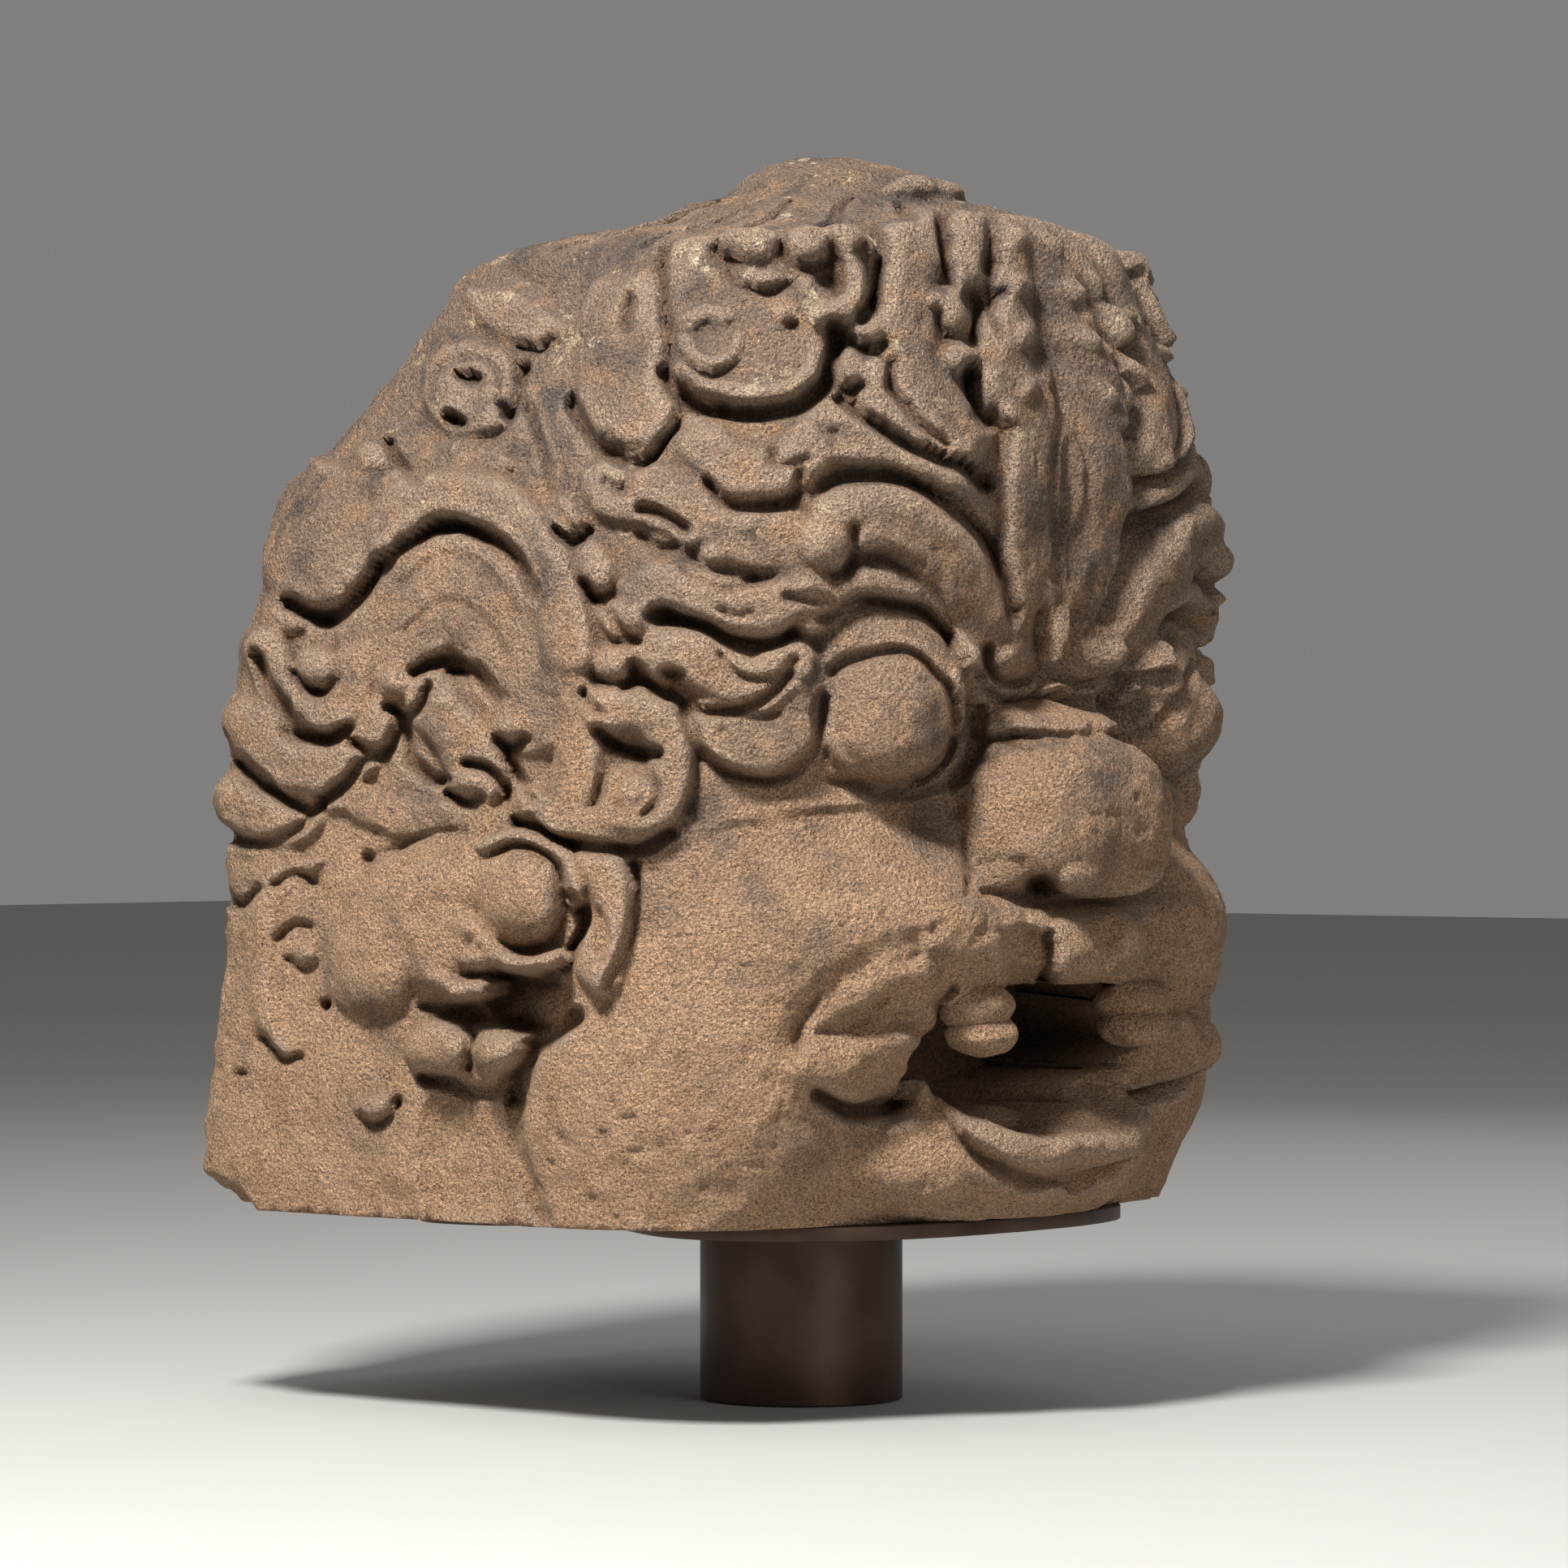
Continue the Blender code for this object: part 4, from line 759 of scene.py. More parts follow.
@dataclass(frozen=True)
class Masses:
    """The uncarved form of the head, in drawn millimetres over the floor."""

    # Height, half-width, depth forward, depth behind and squareness of the back corners
    stations: tuple[tuple[float, ...], ...] = (
        (100.0, 284.0, 160.0, 318.0, 12.0),
        (150.0, 290.0, 172.0, 331.0, 12.0),
        (200.0, 292.0, 182.0, 326.0, 12.0),
        (250.0, 293.0, 202.0, 313.0, 12.0),
        (320.0, 293.0, 230.0, 306.0, 12.0),
        (390.0, 292.0, 202.0, 304.0, 12.0),
        (460.0, 290.0, 196.0, 302.0, 12.0),
        (520.0, 287.0, 206.0, 297.0, 11.0),
        (560.0, 283.0, 216.0, 291.0, 9.0),
        (600.0, 276.0, 220.0, 287.0, 7.0),
        (640.0, 264.0, 226.0, 280.0, 6.0),
        (700.0, 236.0, 212.0, 226.0, 6.0),
        (750.0, 212.0, 198.0, 188.0, 6.0),
        (790.0, 192.0, 184.0, 154.0, 6.0),
        (815.0, 122.0, 162.0, 34.0, 6.0),
        (850.0, 90.0, 110.0, 50.0, 6.0),
    )
    front_squareness: float = 3.0
    crown_top: float = 829.0
    crown_blend: float = 24.0
    jowls: tuple[Mass, ...] = (
        Mass((194.0, -56.0, 240.0), (106.0, 130.0, 130.0), 30.0),
        Mass((112.0, -160.0, 330.0), (120.0, 86.0, 70.0), 30.0),
        Mass((0.0, -170.0, 318.0), (150.0, 84.0, 46.0), 16.0),
        Mass((0.0, -150.0, 175.0), (170.0, 88.0, 52.0), 20.0),
    )
    eyes: tuple[Mass, ...] = (
        Mass((118.0, -170.0, 488.0), (62.0, 50.0, 60.0), 10.0),
        Mass((124.0, -178.0, 468.0), (48.0, 44.0, 46.0), 8.0),
    )
    nose: tuple[Mass, ...] = (
        Mass((0.0, -226.0, 408.0), (88.0, 60.0, 54.0), 14.0, 2.5),
        Mass((0.0, -196.0, 446.0), (62.0, 52.0, 40.0), 24.0),
        Mass((52.0, -226.0, 382.0), (36.0, 44.0, 30.0), 12.0),
    )
    crown_block: Mass = Mass((0.0, -46.0, 800.0), (88.0, 86.0, 63.5), 8.0, 2.5)
    crown_break: float = 0.13
    corner_chip: Mass = Mass((-296.0, 322.0, 126.0), (74.0, 74.0, 30.0), 8.0)
    sheet: Sheet = Sheet()

    def station_curve(self, z: Array, column: int) -> Array:
        """A smooth profile of the block against height, through one column of its stations."""
        line = smooth_line(tuple((row[0], row[column]) for row in self.stations))
        return np.interp(z, line[:, 0], line[:, 1])

    def block(self, side: Array, y: Array, z: Array) -> Array:
        """Distance outside the block: (r - R) / sqrt(1 + R'^2), R being the plan's radius and R' its slope.

        Args:
            side: Distance from the midline.
            y: Place along the head.
            z: Height.

        Returns:
            Millimetres outside the block.
        """
        radius = self.plan_radius(side, y, z)
        slope = 0.5 * (self.plan_radius(side, y, z + 1.0) - self.plan_radius(side, y, z - 1.0))
        walls = (np.hypot(side, y) - radius) / np.sqrt(1.0 + slope * slope)
        return most(walls, z - self.crown_top, self.crown_blend)

    def plan_radius(self, side: Array, y: Array, z: Array) -> Array:
        """Radius of the block's plan on the way to a point: r / n, n being its superellipse norm."""
        front = y < 0.0
        deep = np.where(front, self.station_curve(z, 2), self.station_curve(z, 3))
        power = np.where(front, self.front_squareness, self.station_curve(z, 4))
        norm = ((side / self.station_curve(z, 1)) ** power + (np.abs(y) / deep) ** power) ** (1.0 / power)
        return np.hypot(side, y) / np.maximum(norm, 1e-6)

    def distance(self, points: Array) -> Array:
        """Distance outside the uncarved stone: block and masses filleted together, less what is broken off.

        Args:
            points: Places in drawn millimetres.

        Returns:
            Millimetres outside the stone.
        """
        x, y, z = points.T
        side = np.abs(x)
        distance = self.block(side, y, z)
        for mass in self.jowls + self.eyes + self.nose:
            distance = least(distance, mass.distance(side, y, z), mass.blend)
        across = x * math.cos(self.sheet.azimuth) + y * math.sin(self.sheet.azimuth)
        broken = z + self.crown_break * np.maximum(across, 0.0)
        distance = least(distance, self.crown_block.distance(x, y, broken), self.crown_block.blend)
        return most(distance, -self.corner_chip.distance(x, y, z), self.corner_chip.blend)


@dataclass(frozen=True)
class Mouth:
    """The open mouth: a pocket that widens behind the lips, with a tongue and two-lobed canines.

    The outline is drawn square to the face, as distance from the midline (negative to the lion's right) and
    height.
    """

    outline: tuple[Point, ...] = (
        (-129, 247), (-121, 257), (-110, 266), (-98, 276), (-82, 285), (-60, 291), (-30, 293),
        (0, 293), (34, 293), (62, 291), (84, 285), (100, 276), (112, 266), (124, 257), (131, 248),
        (118, 238), (98, 232), (70, 226), (50, 218), (34, 210), (12, 203), (-12, 198), (-37, 194),
        (-59, 198), (-82, 208), (-100, 222), (-110, 233), (-120, 241),
    )
    depth: float = 125.0
    middle: Point = (0.0, 245.0)
    flare: float = 1.3
    lip: float = 11.0
    lip_depth: float = 6.0
    front: float = -150.0
    lobes: tuple[Mass, ...] = (
        Mass((87.0, -223.0, 279.0), (29.0, 24.0, 17.0), 0.0),
        Mass((84.0, -226.0, 261.0), (27.0, 24.0, 14.0), 0.0),
    )
    tongue: Mass = Mass((0.0, -160.0, 188.0), (54.0, 36.0, 20.0), 0.0)

    def inside(self, x: Array, z: Array) -> tuple[Array, Array]:
        """How far each place lies inside the outline, negative outside, and the outline's nearest point.

        Args:
            x: Distances from the midline.
            z: Heights.

        Returns:
            Millimetres inside the outline, and the nearest points, one a row.
        """
        line = smooth_line(self.outline + self.outline[:1], 4)
        nearest = np.full(len(x), np.inf)
        at = np.zeros((len(x), 2))
        crossings = np.zeros(len(x), dtype=int)
        for p, q in zip(line[:-1], line[1:]):
            run = q - p
            t = share_along(x, z, p, q)
            foot = p + t[:, None] * run
            away = np.hypot(x - foot[:, 0], z - foot[:, 1])
            closer = away < nearest
            nearest[closer], at[closer] = away[closer], foot[closer]
            if run[1]:
                spans = (p[1] > z) != (q[1] > z)
                crossings += spans & (x < p[0] + (z - p[1]) * run[0] / run[1])
        return np.where(crossings % 2, nearest, -nearest), at

    def hollow_out(self, points: Array, snap: float) -> Array:
        """Pushes the face back behind the lips, and lays the points by the outline on it for a clean lip.

        Within, a point goes back by the depth and out from the mouth's middle by the flare; outside, it
        goes back a little by the lip's roundness.

        Args:
            points: The carved surface.
            snap: How near to the outline a point is laid on it.

        Returns:
            How far back each point went.
        """
        low, high = np.min(self.outline, axis=0) - self.lip, np.max(self.outline, axis=0) + self.lip
        x, y, z = points.T
        boxed = (x > low[0]) & (x < high[0]) & (z > low[1]) & (z < high[1])
        near = np.flatnonzero((y < self.front) & boxed)
        inside, at = self.inside(x[near], z[near])
        back = np.zeros(len(points))
        back[near] = np.where(inside > snap, self.depth, 0.0)
        back[near] += self.lip_depth * smooth_step(inside, -self.lip, 0.0) ** 2
        laid, pushed = near[np.abs(inside) <= snap], near[inside > snap]
        points[laid, 0], points[laid, 2] = at[np.abs(inside) <= snap].T
        for axis, middle in zip((0, 2), self.middle):
            points[pushed, axis] = middle + (points[pushed, axis] - middle) * self.flare
        points[:, 1] += back
        return back

    def lumps(self, cells: int = 26) -> tuple[Array, Array]:
        """The lobes of both canines and the tongue: gridded cubes of rays drawn out to ellipsoids.

        Args:
            cells: Cells along each edge of the cubes.

        Returns:
            Points and faces of all the lumps.
        """
        rays, faces = cube_of_rays(cells, 0.0, np.zeros(3))
        placed = [(lobe, hand) for hand in (-1.0, 1.0) for lobe in self.lobes] + [(self.tongue, 1.0)]
        points = [
            rays * np.array(mass.radii) + np.array(mass.centre) * np.array([hand, 1.0, 1.0])
            for mass, hand in placed
        ]
        return np.vstack(points), np.vstack([faces + k * len(rays) for k in range(len(placed))])


@dataclass(frozen=True)
class Lattice:
    """Smooth random values over space, from a seeded lattice that repeats every few dozen cells."""

    seed: int
    cells: int = 48

    def sample(self, points: Array, cell: float) -> Array:
        """Blends the eight nearest lattice values by 3t^2 - 2t^3 of the place within the cell.

        Args:
            points: Places in millimetres.
            cell: Size of one lattice cell.

        Returns:
            Values from -1 to 1.
        """
        values = np.random.default_rng(self.seed).uniform(-1.0, 1.0, (self.cells,) * 3)
        at = points / cell
        low = np.floor(at).astype(int)
        t = at - low
        t = t * t * (3.0 - 2.0 * t)
        total = np.zeros(len(points))
        for corner in np.ndindex(2, 2, 2):
            index = (low + np.array(corner)) % self.cells
            weight = np.prod(np.where(corner, t, 1.0 - t), axis=1)
            total += weight * values[index[:, 0], index[:, 1], index[:, 2]]
        return total


def cube_of_rays(cells: int, gather: float, towards: Array) -> tuple[Array, Array]:
    """Unit rays through a gridded cube, whose (u, v) are tan(pi/4 s) of even steps s, drawn to one way.

    Args:
        cells: Cells along each edge of the cube.
        gather: How strongly the rays close in on the carved corner: this share of it is added to each ray.
        towards: Unit vector to that corner.

    Returns:
        The rays, and the four corners of each cell by ray number, turned outward.
    """
    line = np.tan(np.linspace(-1.0, 1.0, cells + 1) * math.pi / 4.0)
    u, v = np.meshgrid(line, line, indexing="ij")
    one = np.ones_like(u)
    sides = ((one, u, v), (-one, v, u), (v, one, u), (u, -one, v), (u, v, one), (v, u, -one))
    points = np.stack([np.stack(side, axis=-1) for side in sides]).reshape(-1, 3)
    points, numbers = np.unique(np.round(points, 7), axis=0, return_inverse=True)
    grid = numbers.reshape(6, cells + 1, cells + 1)
    corners = (grid[:, :-1, :-1], grid[:, 1:, :-1], grid[:, 1:, 1:], grid[:, :-1, 1:])
    rays = points / np.linalg.norm(points, axis=1)[:, None] + gather * towards
    return rays / np.linalg.norm(rays, axis=1)[:, None], np.stack(corners, axis=-1).reshape(-1, 4)


def spread_to_corners(values: Array, faces: Array, count: int) -> Array:
    """Adds each face's vector to its four corners, one axis at a time.

    Args:
        values: One vector a face.
        faces: Corner numbers of each face.
        count: Number of corners in all.

    Returns:
        One summed vector a corner.
    """
    index = faces.T.ravel()
    return np.stack([np.bincount(index, np.tile(axis, 4), count) for axis in values.T], axis=1)


def normals_of(points: Array, faces: Array) -> Array:
    """Outward unit normals: the cross products of each face's diagonals, summed at its corners."""
    corners = points[faces]
    across = np.cross(corners[:, 2] - corners[:, 0], corners[:, 3] - corners[:, 1])
    normals = spread_to_corners(across, faces, len(points))
    return normals / np.maximum(np.linalg.norm(normals, axis=1), 1e-9)[:, None]


def even_out(values: Array, faces: Array, passes: int) -> Array:
    """Replaces each value by the mean over its faces, a number of times.

    Args:
        values: One number a corner.
        faces: Corner numbers of each face.
        passes: How many times.

    Returns:
        The evened values.
    """
    index = faces.T.ravel()
    share = 1.0 / np.bincount(index, minlength=len(values))
    for _ in range(passes):
        means = values[faces].mean(axis=1)
        values = np.bincount(index, np.tile(means, 4), len(values)) * share
    return values


def new_piece(
    name: str, points: Array, faces: Array, values: dict[str, Array] | None = None
) -> bpy.types.Object:
    """Puts points and faces into a mesh object at the origin, shaded smooth.

    Args:
        name: The piece's name.
        points: Places in metres, one a row.
        faces: Corner numbers, the same count a row.
        values: Named numbers to keep at each point.

    Returns:
        The object, linked to the scene.
    """
    mesh = bpy.data.meshes.new(name)
    mesh.vertices.add(len(points))
    mesh.vertices.foreach_set("co", points.astype(np.float32).ravel())
    mesh.loops.add(faces.size)
    mesh.loops.foreach_set("vertex_index", faces.astype(np.int32).ravel())
    mesh.polygons.add(len(faces))
    mesh.polygons.foreach_set("loop_start", np.arange(0, faces.size, faces.shape[1], dtype=np.int32))
    mesh.update(calc_edges=True)
    mesh.validate()
    for key, numbers in (values or {}).items():
        layer = mesh.attributes.new(key, "FLOAT", "POINT")
        layer.data.foreach_set("value", numbers.astype(np.float32))
    mesh.shade_smooth()
    piece = bpy.data.objects.new(name, mesh)
    bpy.context.scene.collection.objects.link(piece)
    return piece


def grid_faces(rows: int, columns: int) -> Array:
    """Corner numbers of the cells of a grid that closes on itself along its columns.

    Args:
        rows: Points from one end to the other.
        columns: Points round the closed way.

    Returns:
        The cells' corners, turned so that a ring that runs counter-clockwise and climbs faces outward.
    """
    i, j = np.meshgrid(np.arange(rows - 1), np.arange(columns), indexing="ij")
    k = (j + 1) % columns
    here, above = i * columns, (i + 1) * columns
    return np.stack([here + j, here + k, above + k, above + j], axis=-1).reshape(-1, 4)


@dataclass(frozen=True)
class LionHead:
    """The carved stone."""

    node: str = "stone_head"
    piece: str = "carved_lion_head"
    slot: str = "weathered_stone"
    heart: Place = (0.0, 30.0, 330.0)
    drawn_seat: float = 134.3
    cells: int = 232
    quick_cells: int = 120
    gather: float = 0.22
    most_triangles: int = 190000
    reach_start: float = 640.0
    reach_steps: int = 46
    reach_share: float = 0.75
    reach_least: float = 60.0
    highest: float = 46.0
    deepest: float = -40.0
    search_steps: int = 38
    search_halvings: int = 5
    sheet_reach: tuple[Point, Point] = ((-450.0, 90.0), (330.0, 880.0))
    map_pitch: float = 1.0
    blur_passes: int = 3
    turn_to_sheet: float = 2.2
    turn_where: Limits = (-0.1, 0.45)
    sheet_where: Limits = (-0.35, 0.0)
    top_where: Limits = (0.7, 0.95)
    midline_turn: float = 45.0
    snap_cells: float = 160.0
    evened: float = 0.3
    hollow_passes: int = 14
    # Share of the mouth's depth added to the hollow, so that the inside of the mouth is painted dark as
    # shade
    mouth_painted_shade: float = 0.1
    lump_wear: float = 2.2
    lump_cell: float = 12.0
    sway_cell: float = 21.0
    sway_on_sheet: float = 2.2
    sway_on_back: float = 2.0
    sway_on_top: float = 3.0
    # Height, lattice cell and offset of each size of wear
    swells: tuple[tuple[float, ...], ...] = ((1.9, 34.0, 0.0), (1.5, 14.0, 77.0), (0.9, 7.5, 191.0))
    # Depth, lattice cell, offset and limits of each size of pit
    pit_sizes: tuple[tuple[float, ...], ...] = ((2.2, 11.0, 0.0, 0.52, 0.9), (1.5, 6.0, 313.0, 0.55, 0.9))
    masses: Masses = field(default_factory=Masses)
    carving: Carving = field(default_factory=Carving)
    mouth: Mouth = field(default_factory=Mouth)
    sheet: Sheet = field(default_factory=Sheet)
    sway: Lattice = Lattice(3)
    wear: Lattice = Lattice(11)
    pits: Lattice = Lattice(23)

    def reach(self, rays: Array) -> Array:
        """Steps in along each ray by a share of the distance left, to the stone's outermost face."""
        reach = np.full(len(rays), self.reach_start)
        for _ in range(self.reach_steps):
            step = self.masses.distance(np.array(self.heart) + rays * reach[:, None])
            reach = np.maximum(reach - self.reach_share * step, self.reach_least)
        return reach

    def ways(self, points: Array, normals: Array) -> Array:
        """The way that the carving stands out: square to the stone, turned to the sheet where it faces it.

        The way is normal + turn (towards the sheet), whose sideways part dies away by the midline.

        Args:
            points: Places on the uncarved stone.
            normals: Its outward normals.

        Returns:
            Unit vectors.
        """
        hand = np.clip(points[:, 0] / self.midline_turn, -1.0, 1.0)
        azimuth = self.sheet.azimuth
        forward = np.full(len(points), -math.cos(azimuth))
        towards = np.stack([-math.sin(azimuth) * hand, forward, 0.0 * hand], axis=1)
        towards /= np.linalg.norm(towards, axis=1)[:, None]
        facing = smooth_step(np.sum(towards * normals, axis=1), *self.turn_where)
        ways = normals + (self.turn_to_sheet * facing)[:, None] * towards
        return ways / np.linalg.norm(ways, axis=1)[:, None]

    def relief(self, points: Array, normals: Array, ways: Array, lean: Array) -> Array:
        """Thickness of carving: the sheet's marks where the stone faces it, else the back's and the top's.

        The thickness is the first one, going in from the highest, that the marks seen at that place reach.

        Args:
            points: Places on the uncarved stone.
            normals: Its outward normals.
            ways: The ways that the carving stands out of it.
            lean: Cosine between way and normal.

        Returns:
            Thickness over the uncarved stone, measured square to it.
        """
        mirror = np.ones_like(points)
        mirror[:, 0] = np.where(points[:, 0] > 0.0, -1.0, 1.0)
        sways = [self.sway.sample(points + 500.0 * k, self.sway_cell) for k in range(3)]
        shift = np.stack(sways, axis=1)
        faces_sheet = smooth_step(self.sheet.nearness(normals * mirror), *self.sheet_where)
        faces_up = smooth_step(normals[:, 2], *self.top_where)
        side = np.abs(points[:, 0])
        on_back, on_top = self.sway_on_back * shift, self.sway_on_top * shift
        plain = carve(self.carving.back(), side + on_back[:, 0], points[:, 2] + on_back[:, 1])
        plain *= (1.0 - faces_sheet) * (1.0 - faces_up)
        plain += faces_up * carve(self.carving.top(), side + on_top[:, 0], points[:, 1] + on_top[:, 2])
        share = faces_sheet * (1.0 - faces_up)
        marks = ReliefMap(self.carving.side(), *self.sheet_reach, self.map_pitch, self.blur_passes)
        sway = self.sway_on_sheet * shift
        start, way = points * mirror, ways * mirror / lean[:, None]

        def over(thickness: Array) -> Array:
            """Height of the marks over a given thickness of stone."""
            a, z = self.sheet.project(start + way * thickness[:, None])
            return marks.read(a + sway[:, 0], z + sway[:, 1]) * share + plain - thickness

        high, low = np.full(len(points), self.highest), np.full(len(points), self.deepest)
        found = np.zeros(len(points), dtype=bool)
        steps = np.linspace(self.highest, self.deepest, self.search_steps)
        for above, below in zip(steps[:-1], steps[1:]):
            hit = ~found & (over(np.full(len(points), below)) >= 0.0)
            high[hit], low[hit] = above, below
            found |= hit
        for _ in range(self.search_halvings):
            middle = 0.5 * (high + low)
            reached = over(middle) >= 0.0
            low, high = np.where(reached, middle, low), np.where(reached, high, middle)
        return np.where(found, low, self.deepest)

    def weathering(self, points: Array) -> Array:
        """Wear: three sizes of random height, less two sizes of pit where another rises past a limit."""
        height = np.zeros(len(points))
        for amount, cell, offset in self.swells:
            height += amount * self.wear.sample(points + offset, cell)
        for depth, cell, offset, start, full in self.pit_sizes:
            height -= depth * smooth_step(self.pits.sample(points + offset, cell), start, full)
        return height

    def surface(self) -> tuple[Array, Array, Array]:
        """The carved surface: heart + ray reach + way carving / lean + normal wear, flat at the seat.

        Returns:
            Points in drawn millimetres, faces, and how deep each point lies under the evened surface, plus
            a share of the mouth's depth that paints shade inside the mouth.
        """
        corner = np.array([math.sin(self.sheet.azimuth), -math.cos(self.sheet.azimuth), 0.0])
        cells = self.cells
        rays, faces = cube_of_rays(cells, self.gather, corner)
        heart = np.array(self.heart)
        reach = self.reach(rays)
        points = heart + rays * reach[:, None]
        normals = normals_of(points, faces)
        ways = self.ways(points, normals)
        lean = np.clip(np.sum(normals * ways, axis=1), 0.5, 1.0)
        thickness = self.relief(points, normals, ways, lean)
        thickness = (1.0 - self.evened) * thickness + self.evened * even_out(thickness, faces, 1)
        hollow = even_out(thickness, faces, self.hollow_passes) - thickness
        points += ways * (thickness / lean)[:, None]
        points += normals * self.weathering(points)[:, None]
        back = self.mouth.hollow_out(points, self.snap_cells * math.pi / 2.0 / cells)
        # Painted shade: the mouth's depth is added to the hollow, which darkens the inside of the mouth in
        # the stone's colour
        hollow += self.mouth_painted_shade * back
        points = self.cut_underside(points)
        lumps, lump_faces = self.mouth.lumps()
        worn = [self.lump_wear * self.wear.sample(lumps + 90.0 * k, self.lump_cell) for k in range(3)]
        lumps += np.stack(worn, axis=1)
        faces = np.vstack([faces, lump_faces + len(points)])
        return np.vstack([points, lumps]), faces, np.append(hollow, np.zeros(len(lumps)))

    def cut_underside(self, points: Array, band: float = 5.0) -> Array:
        """Cuts the stone flat at the seat: points well under it go towards the heart, those by it rise.

        Args:
            points: The carved surface.
            band: How far under the seat a point is still raised to it.

        Returns:
            The points, none of them under the seat.
        """
        heart = np.array(self.heart)
        under = points[:, 2] < self.drawn_seat - band
        share = (self.drawn_seat - heart[2]) / (points[under, 2] - heart[2])
        points[under] = heart + (points[under] - heart) * share[:, None]
        points[:, 2] = np.maximum(points[:, 2], self.drawn_seat)
        return points

    def build(self) -> bpy.types.Object:
        """Makes the head, seats it on the frame's node, thins its faces and dresses it."""
        low, high = (np.array(corner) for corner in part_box(self.node))
        points, faces, hollow = self.surface()
        points = points * MM
        points[:, 2] += low[2] - self.drawn_seat * MM
        points = np.clip(points, low, high)
        piece = new_piece(self.piece, points, faces, {"hollow": hollow})
        thin = piece.modifiers.new("Thin the faces", "DECIMATE")
        thin.ratio = min(1.0, self.most_triangles / (2.0 * len(faces)))
        thinned_piece = piece.evaluated_get(bpy.context.evaluated_depsgraph_get())
        thinned = bpy.data.meshes.new_from_object(thinned_piece)
        piece.modifiers.clear()
        piece.data = thinned
        piece.data.materials.append(StoneFinish().material())
        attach(piece, BODY)
        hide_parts(self.node)
        LOG.info("%s: %d triangles", piece.name, len(thinned.polygons))
        return piece


class Nodes:
    """A short hand for wiring a shader or a group."""

    def __init__(self, tree: bpy.types.NodeTree) -> None:
        """Keeps the tree that the nodes go in."""
        self.tree = tree

    def add(
        self, kind: str, inputs: dict[str | int, object] | None = None, **settings: object
    ) -> bpy.types.Node:
        """Adds a node, sets its properties, and links or sets its inputs.

        Args:
            kind: The node's type.
            inputs: Sockets to link, or values to set, by input name or number.
            settings: Properties of the node.

        Returns:
            The node.
        """
        node = self.tree.nodes.new(kind)
        for key, value in settings.items():
            setattr(node, key, value)
        for key, value in (inputs or {}).items():
            if isinstance(value, bpy.types.NodeSocket):
                self.tree.links.new(value, node.inputs[key])
            else:
                node.inputs[key].default_value = value
        return node

    def noise(self, vector: Socket, scale: float | Socket, detail: float, rough: float = 0.5) -> Socket:
        """Noise of a given scale, as a value about one half."""
        sockets = {"Vector": vector, "Scale": scale, "Detail": detail, "Roughness": rough}
        return self.add("ShaderNodeTexNoise", sockets).outputs["Fac"]

    def span(
        self, value: Socket, low: float, high: float, to_low: float = 0.0, to_high: float = 1.0
    ) -> Socket:
        """A value's way from low to high, clamped, as a number from to_low to to_high."""
        sockets = {"Value": value, "From Min": low, "From Max": high, "To Min": to_low, "To Max": to_high}
        return self.add("ShaderNodeMapRange", sockets).outputs["Result"]

    def math(self, operation: str, a: object, b: object) -> Socket:
        """One sum of two values."""
        return self.add("ShaderNodeMath", {0: a, 1: b}, operation=operation).outputs[0]

    def mix(self, share: object, a: object, b: object, blend: str = "MIX") -> Socket:
        """One colour over another, by a share."""
        node = self.add("ShaderNodeMix", data_type="RGBA", blend_type=blend)
        for socket, value in ((node.inputs[0], share), (node.inputs[6], a), (node.inputs[7], b)):
            if isinstance(value, bpy.types.NodeSocket):
                self.tree.links.new(value, socket)
            else:
                socket.default_value = value
        return node.outputs[2]


def colour(red: float, green: float, blue: float) -> Colour:
    """A plain colour with full alpha."""
    return red, green, blue, 1.0


def mottle_group() -> bpy.types.NodeTree:
    """Builds once the group that gives patches, specks and grain at a given size over the surface.

    Returns:
        The group: inputs Vector, Patch and Grain (scales per metre), outputs Patches, Specks and Height.
    """
    name = "mottle_and_grain"
    if name in bpy.data.node_groups:
        return bpy.data.node_groups[name]
    tree = bpy.data.node_groups.new(name, "ShaderNodeTree")
    tree.interface.new_socket("Vector", in_out="INPUT", socket_type="NodeSocketVector")
    for key, value in (("Patch", 14.0), ("Grain", 700.0)):
        tree.interface.new_socket(key, in_out="INPUT", socket_type="NodeSocketFloat").default_value = value
    for key in ("Patches", "Specks", "Height"):
        tree.interface.new_socket(key, in_out="OUTPUT", socket_type="NodeSocketFloat")
    nodes = Nodes(tree)
    given = nodes.add("NodeGroupInput").outputs
    patch = nodes.noise(given["Vector"], given["Patch"], 5.0)
    grain = nodes.noise(given["Vector"], given["Grain"], 3.0, 0.7)
    speck = nodes.add("ShaderNodeTexVoronoi", {"Vector": given["Vector"], "Scale": given["Grain"]})
    fine = nodes.math("MULTIPLY", speck.outputs["Distance"], -0.6)
    height = nodes.math("ADD", grain, fine)
    shown = {
        "Patches": nodes.span(patch, 0.35, 0.65),
        "Specks": nodes.span(grain, 0.36, 0.66),
        "Height": height,
    }
    nodes.add("NodeGroupOutput", shown)
    return tree


def mottle(nodes: Nodes, place: Socket, patch: float, grain: float) -> bpy.types.bpy_prop_collection:
    """Adds the shared group to a material at a given size of patch and grain.

    Args:
        nodes: The material's nodes.
        place: Where on the object.
        patch: Patches in a metre.
        grain: Grains in a metre.

    Returns:
        The group's outputs, by name.
    """
    sockets = {"Vector": place, "Patch": patch, "Grain": grain}
    return nodes.add("ShaderNodeGroup", sockets, node_tree=mottle_group()).outputs


def new_material(name: str) -> tuple[bpy.types.Material, Nodes, bpy.types.Node]:
    """A new material, its nodes and its surface shader."""
    material = bpy.data.materials.new(name)
    material.use_nodes = True
    return material, Nodes(material.node_tree), material.node_tree.nodes["Principled BSDF"]


